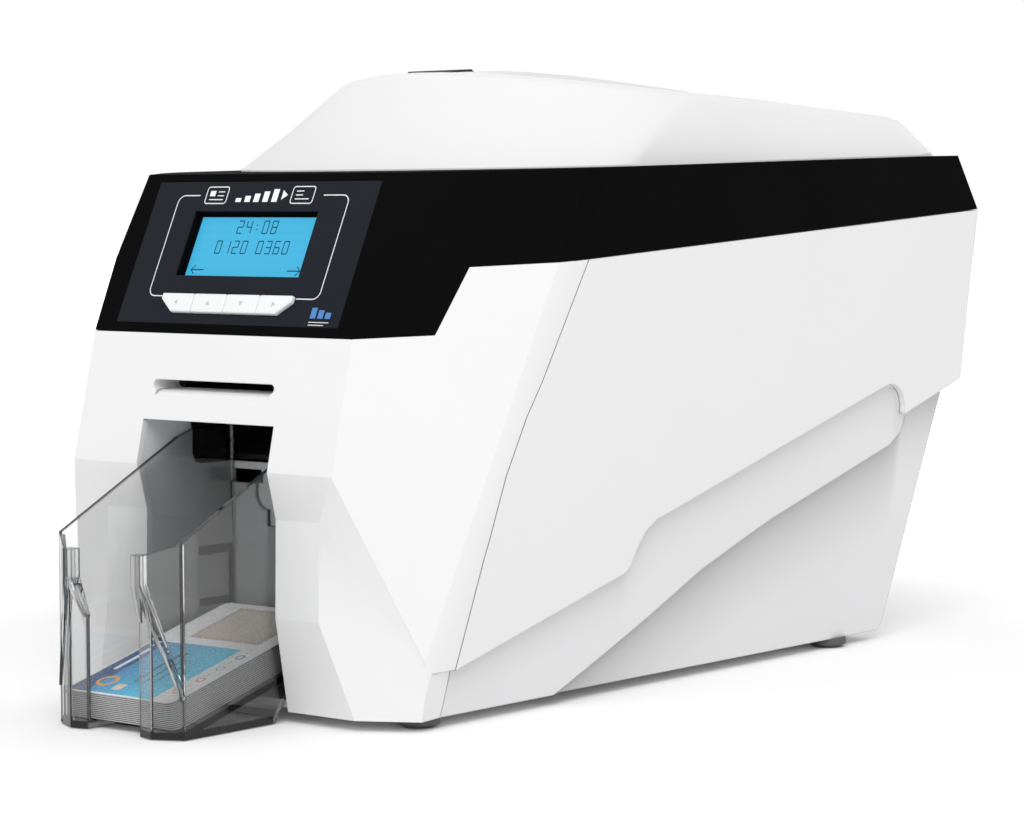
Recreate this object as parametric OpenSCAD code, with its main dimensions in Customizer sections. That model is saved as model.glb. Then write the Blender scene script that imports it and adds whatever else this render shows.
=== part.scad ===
// Desktop card printer: faceted white housing, dark wrap-round control band, hinged hump lid,
// clear output tray in a front bay, and the print, feed and power units inside.
// Millimetres. +Z up, the front faces -Y, the origin is the middle of the footprint on the table.
// Inside the modules Y runs from the lower lip of the leaning control panel; placed() moves it.

/* [Housing] */
// Width over the side covers at their widest, rear end
body_w = 220; // [216:1:232]
// Y of the outer rear face
rear_y = 351; // [347:1:368]
// Thickness of the moulded housing walls
wall = 2.6; // [2.2:0.1:3]
// Height of the underside of the housing above the table
base_z = 4; // [3.5:0.5:6]
// Inward lean of the side covers towards the bottom, degrees
side_lean = 6.28; // [5.5:0.1:7]
// Taper of the side covers towards the front, degrees
side_taper = 0.5; // [0.2:0.1:0.8]
// Depth of the swept recess in each side
recess = 5; // [4:0.5:6]
// Visible seam between neighbouring covers
seam_gap = 0.4; // [0.3:0.1:0.6]
// Radius of the rubber feet
foot_r = 8; // [6:0.5:9]

/* [Front] */
// Width of the flat front between its two chamfers
face_w = 129; // [125:1:133]
// How much farther the flat front reaches on its left
face_more = 2.5; // [0:0.5:3.5]
// Height of the lower lip of the control panel
lip_z = 139.9; // [138:0.5:141]
// How far the brow over the bay stands in front of the panel's lip
brow_out = 11.1; // [9:0.5:12]
// Height of the brow
brow_z = 91.6; // [90:0.5:94]
// Width of the open bay
bay_w = 66.6; // [65:0.2:68]
// Height of the bay's ceiling
bay_top = 108; // [106:0.5:109]
// Y of the bay's back wall
bay_back = 38; // [36:0.5:39]
// Width of the hand-feed slot
slot_w = 61.5; // [58:0.5:63]
// Height of the hand-feed slot
slot_h = 3.5; // [3:0.1:4]

/* [Control panel] */
// How far the panel runs back from its lip to its top edge
panel_run = 27.5; // [25:0.5:29]
// Height of the panel's top edge
deck_z = 198.8; // [197:0.2:200]
// Width of the printed film on the panel
film_w = 113; // [108:1:116]
// Width and height of the display window
window_w = 62.8; // [58:0.2:64]
window_h = 26.4; // [24:0.2:27]
// Width of one key
key_w = 16.4; // [15:0.2:16.8]
// Height of the keys
key_h = 7.4; // [6.5:0.1:8]
// Travel of the keys
key_travel = 1.2; // [0.8:0.1:1.5]

/* [Lid] */
// Width of the lid where it leaves the deck
lid_w = 193; // [188:1:195]
// Width of the lid at its upper edge
lid_top_w = 168; // [160:1:172]
// Y of the lid's nose where it leaves the deck
lid_nose_y = 67.5; // [63:0.5:70]
// Y of the lid's nose at its upper edge
lid_top_nose_y = 105; // [101:1:107]
// Height of the lid's upper edge at the nose
lid_edge_z = 232.7; // [230.7:0.5:234.7]
// Rise of the lid's crown over its upper edge
lid_crown = 6; // [4:0.5:8]
// Width of the raised spine on the crown
spine_w = 56; // [48:1:64]
// How far the lid's hinge axis lies ahead of the rear face, and its height
hinge_back = 17; // [16:0.5:18]
hinge_z = 192; // [191:0.5:193]
// Radius of the hinge rod
hinge_r = 3; // [2.5:0.1:3.5]
// Travel of the release button
button_travel = 4; // [3:0.5:4.5]

/* [Cards and tray] */
// Length, width and thickness of a standard card
card_l = 85.6;
card_w = 53.98;
card_t = 0.76;
// Printed cards lying in the tray
tray_cards = 14; // [1:1:18]
// Blank cards in the magazine
blank_cards_n = 48; // [5:1:55]
// Width over the tray's side walls
tray_w = 63; // [62:0.2:64]
// Thickness of the clear tray's walls
tray_t = 1.6; // [1.4:0.1:2]
// How far the tray stands in front of the panel's lip
tray_reach = 57.6; // [54.6:0.5:61.6]
// Height of the tray's front
tray_front_z = 69.8; // [64:0.5:74]
// Slope of the cards in the tray, degrees
tray_slope = 15.6; // [13:0.2:16]

/* [Mechanism] */
// Height of the card path
path_z = 121; // [120.6:0.1:121.4]
// Radius of the driven rollers
roller_r = 9; // [8.5:0.1:9.2]
// Radius of the pinch rollers
pinch_r = 6; // [5:0.2:6.5]
// Radius of the roller shafts
shaft_r = 2.5; // [2:0.1:3]
// Clear width between the two side plates
frame_w = 80; // [79:0.5:82]
// Thickness of the side plates
plate_t = 1.5; // [1.2:0.1:2]
// Teeth of the platen gear and of the motor pinion
platen_teeth = 56; // [48:2:60]
pinion_teeth = 14; // [12:1:16]
// Gear module
gear_m = 0.8; // [0.75:0.05:0.8]
// Radius of the full film roll and of the part-wound one
supply_r = 22; // [18:0.5:23]
takeup_r = 14; // [12:0.5:15]
// Width of the print film
film_roll_w = 62; // [60:0.5:64]

/* [Hidden] */
$fn = 48;
far = 500;
run_gap = 0.05;
clear = 0.3;

// ---- frame -------------------------------------------------------------
front_y = -tray_reach;
module placed() translate([0, -(rear_y + front_y) / 2, 0]) children();
module both_sides() {
  children();
  mirror([1, 0, 0]) children();
}
// a Y-Z outline made into a bar along X
module bar_x(w) rotate([90, 0, 90]) translate([0, 0, -w / 2]) linear_extrude(w) children();
module rod_x(r, w) rotate([0, 90, 0]) cylinder(r = r, h = w, center = true);
module at(y, z) translate([0, y, z]) children();
function unit(v) = v / norm(v);
function toward(p, q, t) = p + (q - p) * t;
// everything on the outer side of the plane through p with outward normal n
module beyond(p, n)
  translate(p) rotate([0, acos(n[2] / norm(n)), atan2(n[1], n[0])])
    translate([-far, -far, 0]) cube([2 * far, 2 * far, far]);

// ---- outline of the housing ---------------------------------------------
// front profile, from the toe up over shin, knee, brow and lip to the deck and down the rear
toe_y = -1.1;
shin_y = -7.3;
shin_z = 38.8;
knee_y = -6.7;
knee_z = 74.5;
rear_slope = 16.5;
deck_rear_z = deck_z + 8;
shoulder_z = 184;
skirt_z = 112;
rear_toe_y = rear_y - 32;
hinge_y = rear_y - hinge_back;
function deck_at(y) = deck_z + (deck_rear_z - deck_z)
  * (y - panel_run) / (rear_y - rear_slope - panel_run);
function profile(i, low) = [
  [toe_y + i, base_z + low], [shin_y + i, shin_z], [knee_y + i, knee_z], [i - brow_out, brow_z],
  [i / sin(panel_tilt), lip_z], [i / sin(panel_tilt) + (deck_z - i - lip_z) / tan(panel_tilt),
    deck_z - i],
  [rear_y - rear_slope - i, deck_rear_z - i],
  [rear_y - i, shoulder_z - i / 2], [rear_y - i, skirt_z], [rear_toe_y + 1 - i, base_z + low + 3.2],
  [rear_toe_y - 2.4 - i, base_z + low]];

half_w = body_w / 2;
side_n = unit([1, -tan(side_taper), -tan(side_lean)]);
side_p = [half_w, rear_y, shoulder_z];
function side_x(y, z) = half_w - tan(side_taper) * (rear_y - y) - tan(side_lean) * (shoulder_z - z);
// corners of the flat front; c is its half-width, more the extra reach that bows its edge
bow_tip = [half_w - 6, 70, lip_z + 26.4];
bow_heel = [half_w - 21, 12.9, 21.7];
temple_rear = [half_w - 3.7, 70, lip_z + 47];
knee_corner = [54.4, knee_y, knee_z];
shin_corner = [54.4, shin_y, shin_z];
function lip_at(c, more) = [c + 0.8 * more, 0, lip_z];
function brow_at(c, more) = [c + more, -brow_out, brow_z];
function temple_mid(c, more) = [c + 0.37 + 1.15 * more, 0.46 * panel_run,
  lip_z + 0.46 * (deck_z - lip_z)];
function temple_top(c, more) = [c + 0.8 - 0.36 * more, panel_run, deck_z];
function outward(n) = n[1] > 0 ? -n : n;
function plane_n(p, q, r) = outward(unit(cross(q - p, r - p)));
// narrow bow surface between the chamfer and the side
bow_n = unit([sin(75), -cos(75), -0.0005]);

module cut_plane(p, n, inset) beyond(p - inset * n, n);
module corner_cuts(c, more, inset) {
  cut_plane(side_p, side_n, inset);
  // big chamfer through the front's upper and lower corner and the tip under the band
  cut_plane(lip_at(c, more), plane_n(lip_at(c, more), brow_at(c, more), bow_tip), inset);
  // the dark band's own chamfer leans in a little more
  cut_plane(temple_mid(c, more), plane_n(lip_at(c, more), temple_mid(c, more), temple_rear), inset);
  if (more > 0) cut_plane(temple_mid(c, more), plane_n(temple_mid(c, more), temple_top(c, more),
    temple_rear), inset);
  cut_plane(bow_tip - [0.3, 0, 0], bow_n, inset);
  // cheeks beside the bay, below the brow
  intersection() {
    cut_plane(knee_corner, plane_n(bow_heel, shin_corner, knee_corner), inset);
    cut_plane(brow_at(c, more), plane_n(bow_heel, brow_at(c, more), knee_corner), inset);
  }
}
// the whole outer form, each face moved in by inset and the underside raised by low
module envelope(inset = 0, low = 0) difference() {
  bar_x(body_w - 2 * inset) polygon(profile(inset, low));
  corner_cuts(face_w / 2, 0, inset);
  mirror([1, 0, 0]) corner_cuts(face_w / 2, face_more, inset);
}

// lower edge of the dark band, front to rear
wing_low = [26.5, lip_z + 0.9];
wing_high = [40, lip_z + 25];
band_bow = [70, lip_z + 26.4];
band_rear = [rear_y + 1, shoulder_z];
band_edge = [[-60, lip_z], [0, lip_z], wing_low, wing_high, band_bow, band_rear];
module band_region(shift = 0)
  bar_x(far) polygon([for (p = band_edge) p + [0, shift], [rear_y + 9, 400], [-60, 400]]);
// seam between the front and the base below the swept recess, top to bottom
toe_seam = [[26.6, 19.4], [24, 6.3], [22.3, base_z - 2]];
// seam between the front and the side covers, top to bottom
seam_line = [[86, 172], [62.2, 122.7], [55.1, 110.5], [46.2, 89.6], [39.8, 67.1], [37.5, 60.1],
  [26.5, 20.9], each toe_seam];
module fascia_region()
  bar_x(far) polygon([[-60, base_z - 2], [-60, 400], [86, 400], for (p = seam_line) p]);

// ---- housing --------------------------------------------------------------
// arc from angle a to b about centre c
function arc(c, r, a, b, n = 6) = [for (k = [0:n]) c + r * [cos(a + (b - a) * k / n),
  sin(a + (b - a) * k / n)]];
sweep_a = 16.2;
cover_low = [
  [26.5 + seam_gap, 20.9], [123, 47.2], [126, 50], [128.5, 55.5], [133.3, 62.1], [139.5, 66.3],
  [144.9, 67.7], each arc([296, 98.5], 12.5, 106, 0, 7), [309.5, 97.5], [312, 98.6], [rear_y, 111]];
// swept grip band under the cover
grip_low = [[86, base_z - 1], [119.6, 16.9], [144.9, 28.7], [175.3, 43.3], [205, 54.3], [221.5, 60.1],
  each arc([299, 99], 15, -72, 0, 6), [314, 108], [314, 130], [20, 130], [20, base_z - 1]];

// the front's toe: below a ledge its corner runs inward to the face of the swept recess
ledge_z = 21.3;
function recess_face(p) = [side_x(p[0], p[1]) - wall - run_gap, p[0], p[1]];
toe_n = -outward(unit(cross(recess_face(toe_seam[0]) - bow_heel,
  recess_face(toe_seam[1]) - recess_face(toe_seam[0]))));
module front_form(inset = 0, low = 0) difference() {
  envelope(inset, low);
  both_sides() intersection() {
    cut_plane(bow_heel, toe_n, inset);
    translate([-far / 2, -far / 2, ledge_z + inset - far]) cube(far);
  }
}
module behind_seam()
  bar_x(far) polygon([for (k = [2:-1:0]) toe_seam[k] + [seam_gap, 0], toe_seam[0] + [seam_gap, far],
    [far, far], [far, 0]]);
module base_housing() color([0.93, 0.93, 0.94]) placed() {
  difference() {
    intersection() {
      envelope(recess);
      behind_seam();
      translate([-far / 2, 0, 0]) cube([far, far, 118]);
    }
    bay_block(0.1);
    intersection() {
      envelope(recess + wall, wall);
      translate([-far / 2, 0, base_z]) cube([far, far, far]);
    }
    for (p = foot_places) translate([p[0], p[1], base_z - 1]) cylinder(r = 2.5, h = 20);
  }
  // grip band
  intersection() {
    difference() { envelope(wall + run_gap); envelope(recess + 0.5); }
    bar_x(far) polygon(grip_low);
    behind_seam();
    translate([-far / 2, 0, 0]) cube([far, far, 116]);
  }
}
foot_front = half_w - 35;
foot_rear = half_w - 31;
foot_places = [[foot_front, 23], [-foot_front, 23], [foot_rear, 282], [-foot_rear, 282]];
module feet() color([0.22, 0.22, 0.23]) placed() for (p = foot_places) translate([p[0], p[1], 0]) {
  rotate_extrude() polygon([[0, 0], [foot_r - 2.4, 0], [foot_r, 1.4], [foot_r, base_z], [0, base_z]]);
  cylinder(r = 2.5 - run_gap, h = base_z + wall + 2);
}

module front_fascia() color([0.96, 0.96, 0.96]) placed() difference() {
  union() {
    intersection() {
      difference() { front_form(0); front_form(wall, wall); }
      difference() { fascia_region(); band_region(-0.15); }
    }
    // recessed throat of the hand-feed slot
    intersection() {
      envelope(wall / 2);
      translate([0, 0, path_z]) cube([slot_w + 2 * wall, 2 * slot_depth, slot_h + 2 * wall],
        center = true);
    }
  }
  // the slot has round ends and a lower edge that falls away to the front
  translate([0, 0, path_z]) cube([slot_w - slot_h, 3 * slot_depth, slot_h], center = true);
  for (x = [-1, 1]) translate([x * (slot_w - slot_h) / 2, 0, path_z]) rotate([90, 0, 0])
    cylinder(r = slot_h / 2, h = 3 * slot_depth, center = true);
  bar_x(slot_w - slot_h) polygon([[5, path_z], [5, path_z - slot_h / 2],
    [-2, path_z - slot_h / 2 - 0.4], [-4, path_z - slot_h / 2 - 1.1], [-6, path_z - slot_h / 2 - 3],
    [-6, path_z]]);
  for (p = foot_places) translate([p[0], p[1], base_z - 1]) cylinder(r = 2.5, h = 20);
  translate([-bay_w / 2, -60, base_z - 1]) cube([bay_w, 100, bay_top - base_z + 1]);
  bay_block(0.1);
}
slot_depth = 9.2;
// outer block of the bay's liner
module bay_block(g = 0) intersection() {
  envelope(wall);
  translate([-bay_w / 2 - 2 - g, -60, base_z + 1 - g])
    cube([bay_w + 4 + 2 * g, bay_back + 62 + g, bay_top - base_z + 1 + g]);
}

// white liner of the bay, with the dark upper opening and the tray's clip slots
module bay_window(y, z, h)
  bar_x(far) polygon([[y, far], [y, z + 4], [y + 1.2, z + 1.2], [y + 4, z], [y + h, z], [y + h, far]]);
module card_bay() color([0.9, 0.9, 0.91]) placed() difference() {
  bay_block();
  translate([-bay_w / 2, -61, bay_floor]) cube([bay_w, bay_back + 61, bay_top - bay_floor]);
  bay_window(17.5, 89.5, 60);
  both_sides() difference() {
    translate([bay_w / 2 - 1, 19.5, 35]) cube([5, bay_back - 19.5, 23]);
    translate([bay_w / 2 - 2, 18.5, 38]) cube([7, 17, 16.5]);
  }
  both_sides() translate([bay_w / 2 - 17, bay_back - 1, 81.5]) cube([15.5, 5, 5.2]);
}
bay_floor = 8;

module cover_outline() polygon([[86 + seam_gap, 172], for (p = seam_line) if (p[1] > 21 && p[1] < 171)
  p + [seam_gap, 0],
  each cover_low, [rear_y, 200], [86 + seam_gap, 200]]);
module side_cover(side) mirror([side, 0, 0]) {
  intersection() {
    difference() {
      envelope(0);
      envelope(wall, wall);
      translate([0, wall + 1, 0]) envelope(wall, wall);
    }
    difference() { bar_x(far) cover_outline(); band_region(-seam_gap / 2); }
    translate([40, 0, 0]) cube([100, far, 400]);
  }
  // snap lugs on the inner face
  for (p = [[110, 150], [230, 160], [330, 150]])
    translate([side_x(p[0], p[1]) - wall - 3, p[0], p[1]]) cube([3.4, 12, 8]);
}
module side_cover_right() color([0.94, 0.94, 0.94]) placed() side_cover(0);
module side_cover_left() color([0.94, 0.94, 0.94]) placed() side_cover(1);

// ---- rear face ------------------------------------------------------------
inlet_at = [38 - half_w, 136];
switch_at = [38 - half_w, 166];
usb_at = [-22, 138];
network_at = [6, 138];
fan_size = 50;
fan_at = [half_w - fan_size / 2 - 14, 150];
module rear_panel() color([0.9, 0.9, 0.91]) placed() difference() {
  intersection() {
    difference() {
      envelope(0);
      beyond([0, rear_y - wall, 0], [0, -1, 0]);
      both_sides() cut_plane(side_p, side_n, wall + clear);
    }
    difference() {
      translate([-far / 2, 0, skirt_z - 0.8]) cube([far, far, 200]);
      band_region(-seam_gap / 2);
    }
  }
  translate([inlet_at[0] - 14, rear_y - 9, inlet_at[1] - 10.5]) cube([28, 20, 21]);
  translate([switch_at[0] - 11, rear_y - 9, switch_at[1] - 7.5]) cube([22, 20, 15]);
  translate([usb_at[0] - 6.2, rear_y - 9, usb_at[1] - 5.7]) cube([12.4, 20, 11.4]);
  translate([network_at[0] - 8.2, rear_y - 9, network_at[1] - 7]) cube([16.4, 20, 14]);
  // fan grille: concentric slots between spokes
  translate([fan_at[0], rear_y - 9, fan_at[1]]) rotate([-90, 0, 0])
    for (r = [8:5:23]) difference() {
      cylinder(r = r + 1.4, h = 20);
      translate([0, 0, -1]) cylinder(r = r - 1.4, h = 22);
      for (a = [45, 135]) rotate(a) cube([60, 3, 60], center = true);
    }
  for (k = [0:6]) translate([-34, rear_y - 9, 116 + 0]) translate([k * 9, 0, 0]) cube([5, 20, 3]);
}

bezel_rear_z = hinge_z - 4;
module top_bezel() color([0.07, 0.07, 0.07]) placed() difference() {
  intersection() {
    difference() { envelope(0); envelope(wall, wall); }
    band_region(0.15);
  }
  // opening for the lid, and the room its rear edge swings through
  translate([0, 0, 150]) linear_extrude(200) polygon(lid_plan(lid_w / 2 + 0.7, lid_nose_y - 0.7, nose_b,
    lid_rear_y + 1));
  translate([-lid_w / 2 - 0.7, hinge_y - 12, bezel_rear_z]) cube([lid_w + 1.4, 60, 60]);
  on_panel() {
    translate([-film_w / 2, film_low, -film_t]) cube([film_w, film_high - film_low, 9]);
    translate([window_x - window_w / 2, window_y, -9]) cube([window_w, window_h, 18]);
    translate([0, 0, -9]) linear_extrude(18) keys_window();
  }
}

// ---- control panel ----------------------------------------------------------
panel_tilt = atan2(deck_z - lip_z, panel_run);
module on_panel() translate([0, 0, lip_z]) rotate([panel_tilt, 0, 0]) children();
film_t = 0.5;
film_low = 3.8;
film_high = 61.8;
window_x = -1.6;
window_y = 23.3;
keys_x = -1.8;
key_pitch = key_w + 0.3;
key_y = 7.9;
key_cut_w = 6.5;
key_cut_h = 5;
module keys_window() translate([keys_x, key_y]) polygon([[-2 * key_pitch, key_h + 0.6],
  [-2 * key_pitch, key_cut_h],
  [key_cut_w - 2 * key_pitch, 0], [2 * key_pitch - key_cut_w, 0], [2 * key_pitch, key_cut_h],
    [2 * key_pitch, key_h + 0.6]]);
module panel_film() color([0.12, 0.13, 0.16]) placed() on_panel() difference() {
  translate([-film_w / 2 + 0.1, film_low + 0.1, -film_t])
    cube([film_w - 0.2, film_high - film_low - 0.2, film_t]);
  translate([window_x - window_w / 2, window_y, -2]) cube([window_w, window_h, 4]);
  translate([0, 0, -2]) linear_extrude(4) keys_window();
}
module display_module() color([0.3, 0.75, 0.93]) placed() on_panel() {
  translate([window_x - window_w / 2 - 3, window_y - 2.5, -wall - 6])
    cube([window_w + 6, window_h + 5, 4.5]);
  translate([window_x - window_w / 2 + 1.2, window_y + 0.8, -wall - 2])
    cube([window_w - 2.4, window_h - 1.6, 0.9]);
  for (s = [-1, 1]) translate([window_x + s * (window_w / 2 + 1.5) - 1, window_y, -wall - 2])
    cube([2, window_h, 2]);
}
// one of the four keys; the outer ones have a cut lower corner
module key(n) color([0.95, 0.95, 0.95]) placed() on_panel()
  translate([keys_x + (n - 2.5) * key_pitch, key_y + 0.3, 0]) {
  left_w = n == 1 ? key_cut_w : 0;
  left_h = n == 1 ? key_cut_h : 0;
  right_w = n == 4 ? key_cut_w : 0;
  right_h = n == 4 ? key_cut_h : 0;
  translate([0, 0, -wall - 0.5]) linear_extrude(wall + 2)
    polygon([[left_w - key_w / 2, 0], [key_w / 2 - right_w, 0], [key_w / 2, right_h],
      [key_w / 2, key_h], [-key_w / 2, key_h], [-key_w / 2, left_h]]);
  translate([-key_w / 2, -1.2, -wall - 1.6]) cube([key_w, key_h + 2.4, 1.5]);
}
module key_1() key(1);
module key_2() key(2);
module key_3() key(3);
module key_4() key(4);
module control_board() color([0.1, 0.35, 0.2]) placed() on_panel() {
  translate([-46, 5, -wall - 10]) cube([92, 50, 1.6]);
  for (n = [1:4]) translate([keys_x + (n - 2.5) * key_pitch - 3, key_y + 1, -wall - 8.5])
    cube([6, 6, 5.2]);
  translate([window_x - 30, window_y, -wall - 8.5]) cube([60, 24, 2.4]);
  for (x = [-43, 43], y = [8, 52]) translate([x, y, -wall - 8.5]) cylinder(r = 2.5, h = 8.4);
}

module feed_slot_liner() color([0.05, 0.05, 0.05]) placed() difference() {
  translate([-slot_w / 2 - 3, slot_depth + 0.1, path_z - 4.5]) cube([slot_w + 6, 42 - slot_depth, 9]);
  bar_x(card_w + 1.4) polygon([[slot_depth - 1, path_z - 1.7], [slot_depth - 1, path_z + 1.7],
    [slot_depth + 12, path_z + 0.8],
    [60, path_z + 0.8], [60, path_z - 0.8], [slot_depth + 12, path_z - 0.8]]);
}

// ---- lid ----------------------------------------------------------------------
nose_b = 60;
lid_rear_y = rear_y - 15;
lip_end = [rear_y - 7, shoulder_z + 7 * (deck_rear_z - shoulder_z) / rear_slope];
// plan of the lid, clockwise seen from above: rear right, side, round nose, side, rear left
function lid_plan(w, nose, b, rear, n = 20, m = 4) = [
  for (k = [0:m - 1]) [w, rear + (nose + b - rear) * k / m],
  for (k = [0:n]) let (t = 90 - 180 * k / n) [w * sin(t), nose + b - b * cos(t)],
  for (k = [m - 1:-1:0]) [-w, rear + (nose + b - rear) * k / m]];
function edge_at(y) = lid_edge_z - 0.0296 * (y - lid_top_nose_y) - 0.000065 * pow(y - lid_top_nose_y,
  2);
function crown_at(x, y, w) = edge_at(y) + lid_crown * (1 - pow(x / w, 2));
top_half = lid_top_w / 2;
top_b = 78;
lid_top_rear = rear_y - 18.5;
// rings from the skirt to the crown; t is the wall by which the inner form is smaller
function lid_rings(t) = [
  [for (p = lid_plan(lid_w / 2 - t, lid_nose_y + t, nose_b, lid_rear_y - t)) [p[0], p[1],
    deck_at(p[1]) - 3 - t]],
  [for (p = lid_plan(lid_w / 2 - t, lid_nose_y + t, nose_b, lid_rear_y - t)) [p[0], p[1],
    deck_at(p[1]) + 0.6 - t]],
  [for (p = lid_plan(top_half - t, lid_top_nose_y + t, top_b, lid_top_rear - t)) [p[0], p[1],
    crown_at(p[0], p[1], top_half) - 2.6 - t]],
  [for (p = lid_plan(top_half - 1.6 - t, lid_top_nose_y + 2 + t, top_b, lid_top_rear - 2 - t)) [p[0],
    p[1], crown_at(p[0], p[1], top_half) - 0.9 - t]],
  [for (p = lid_plan(top_half - 5 - t, lid_top_nose_y + 6 + t, top_b, lid_top_rear - 6 - t)) [p[0],
    p[1], crown_at(p[0], p[1], top_half) - t]],
  [for (p = lid_plan(top_half * 0.62, lid_top_nose_y + 12 + t, top_b * 0.62,
    lid_top_rear - 12 - t)) [p[0], p[1], crown_at(p[0], p[1], top_half) - t]],
  [for (p = lid_plan(top_half * 0.3, lid_top_nose_y + 16 + t, top_b * 0.3,
    lid_top_rear - 18 - t)) [p[0], p[1], crown_at(p[0], p[1], top_half) - t]]];
// closed body through the rings; the top is laid in strips across, each of them flat
module loft(rings) {
  n = len(rings[0]);
  h = (n - 1) / 2;
  top = (len(rings) - 1) * n;
  polyhedron(points = [for (r = rings) each r], convexity = 4, faces = [
    [for (k = [n - 1:-1:0]) k],
    for (k = [0:h - 2]) [top + k, top + k + 1, top + n - 2 - k, top + n - 1 - k],
    [top + h - 1, top + h, top + h + 1],
    for (r = [0:len(rings) - 2], k = [0:n - 1]) let (j = (k + 1) % n) each
      [[r * n + k, r * n + j, (r + 1) * n + j], [r * n + k, (r + 1) * n + j, (r + 1) * n + k]]]);
}
button_y = 124.6;
button_w = 24;
button_l = 13;
spine_top = edge_at(button_y) + lid_crown + 0.8;
button_top = spine_top + 0.6;
module lid_shell() color([0.96, 0.96, 0.96]) placed() difference() {
  union() {
    loft(lid_rings(0));
    // rear lip that follows the bezel's slope down over the hinge
    bar_x(lid_w - 0.2) polygon([[lid_rear_y - 8, deck_at(lid_rear_y - 8) + 1],
      [rear_y - rear_slope, deck_rear_z + 1.5], [rear_y - rear_slope + 1.5, deck_rear_z],
      lip_end, lip_end - [2.2, 1.6], [lid_rear_y - 3, deck_rear_z - 3],
        [lid_rear_y - 8, deck_at(lid_rear_y - 8) - 2.6]]);
    // raised spine behind the button
    intersection() {
      bar_x(spine_w) polygon([[112, spine_top - 2], [118, spine_top - 0.4], [128, spine_top],
        [145, spine_top], [160, spine_top - 0.3], [176, spine_top - 0.8],
        [192, spine_top - 1.5], [256, spine_top - 5.3], [262, spine_top - 7.5], [262, spine_top - 14],
          [112, spine_top - 14]]);
      translate([0, 0, 150]) linear_extrude(200)
        polygon([[-spine_w / 2 + 6, 110], [spine_w / 2 - 6, 110], [spine_w / 2, 130],
          [spine_w / 2, 250], [spine_w / 2 - 6, 270], [6 - spine_w / 2, 270], [-spine_w / 2, 250],
          [-spine_w / 2, 130]]);
    }
  }
  loft(lid_rings(wall));
  translate([-button_w / 2 - 0.4, button_y - button_l / 2 - 0.4, 180])
    cube([button_w + 0.8, button_l + 0.8, 100]);
}
tray_z = 201;
lug_x = 33;
latch_y = 100;
latch_z = 207;
striker = [96, 188];
module lid_inner_tray() color([0.1, 0.1, 0.11]) placed() difference() {
  union() {
    // floor that follows the inside of the shell
    intersection() {
      translate([-far / 2, 0, tray_z]) cube([far, hinge_y - 8, 2]);
      loft(lid_rings(wall + 0.2));
    }
    both_sides() {
      bar_at(lug_x, 6) polygon([[hinge_y - 34, tray_z + 1], [hinge_y - 6, hinge_z - 2],
        [hinge_y, hinge_z - 6], [hinge_y + 5, hinge_z - 2], [hinge_y + 5, hinge_z + 3],
        [hinge_y - 6, tray_z + 4], [hinge_y - 34, tray_z + 4]]);
    }
    // latch ears, button guide and posts up to the shell
    for (x = [-9, 9]) bar_at(x, 3) polygon([[latch_y - 6, tray_z], [latch_y + 8, tray_z],
      [latch_y + 4, latch_z + 4], [latch_y - 4, latch_z + 4]]);
    translate([-button_w / 2 - 3, button_y - button_l / 2 - 3, tray_z])
      cube([button_w + 6, button_l + 6, 18]);
    for (x = [-62, 62], y = [150, 270]) translate([x, y, tray_z])
      cylinder(r = 4, h = edge_at(y) - tray_z - wall - 3);
  }
  at(hinge_y, hinge_z) rod_x(hinge_r + run_gap, far);
  at(latch_y, latch_z) rod_x(2.1, 40);
  translate([-5, latch_y - 14, tray_z - 1]) cube([10, button_y - latch_y + 14, 60]);
  translate([-button_w / 2 - 0.3, button_y - button_l / 2 - 0.3, tray_z - 1])
    cube([button_w + 0.6, button_l + 0.6, 60]);
}
module bar_at(x, w) translate([x, 0, 0]) bar_x(w) children();
module lid_button() color([0.05, 0.05, 0.05]) placed() {
  translate([-button_w / 2, button_y - button_l / 2, latch_z + 6.5])
    cube([button_w, button_l, button_top - latch_z - 8]);
  bar_x(button_w) polygon([[button_y - button_l / 2, button_top - 2],
    [button_y + button_l / 2, button_top - 2],
    [button_y + button_l / 2, button_top - 0.4], [button_y + button_l / 2 - 1.5, button_top + 0.6],
      [button_y - button_l / 2 + 1.5, button_top], [button_y - button_l / 2, button_top - 0.8]]);
}
latch_arm = button_y - latch_y;
module lid_latch() color([0.75, 0.76, 0.78]) placed() {
  at(latch_y, latch_z) rod_x(2, 21);
  bar_x(8) polygon([[latch_y - 4, latch_z - 2], [latch_y - 3, latch_z + 3],
    [latch_y + 3, latch_z + 4.5], [button_y + 4, latch_z + 6], [button_y + 4, latch_z + 3.5],
    [latch_y + 5, latch_z], [latch_y, latch_z - 5], [latch_y - 4, striker[1] + 8],
      [striker[0] - 5.5, striker[1] + 5], [striker[0] - 5.5, striker[1] - 3.2],
    [striker[0] - 3, striker[1] - 3.2], [striker[0] - 3, striker[1] - 4.5],
      [striker[0] - 5.5, striker[1] - 7], [striker[0] - 9, striker[1] - 7],
      [striker[0] - 9, striker[1] + 5.5]]);
}
module hinge_rod() color([0.75, 0.76, 0.78]) placed() at(hinge_y, hinge_z)
  rod_x(hinge_r, frame_w + 2 * plate_t + 6);

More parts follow.
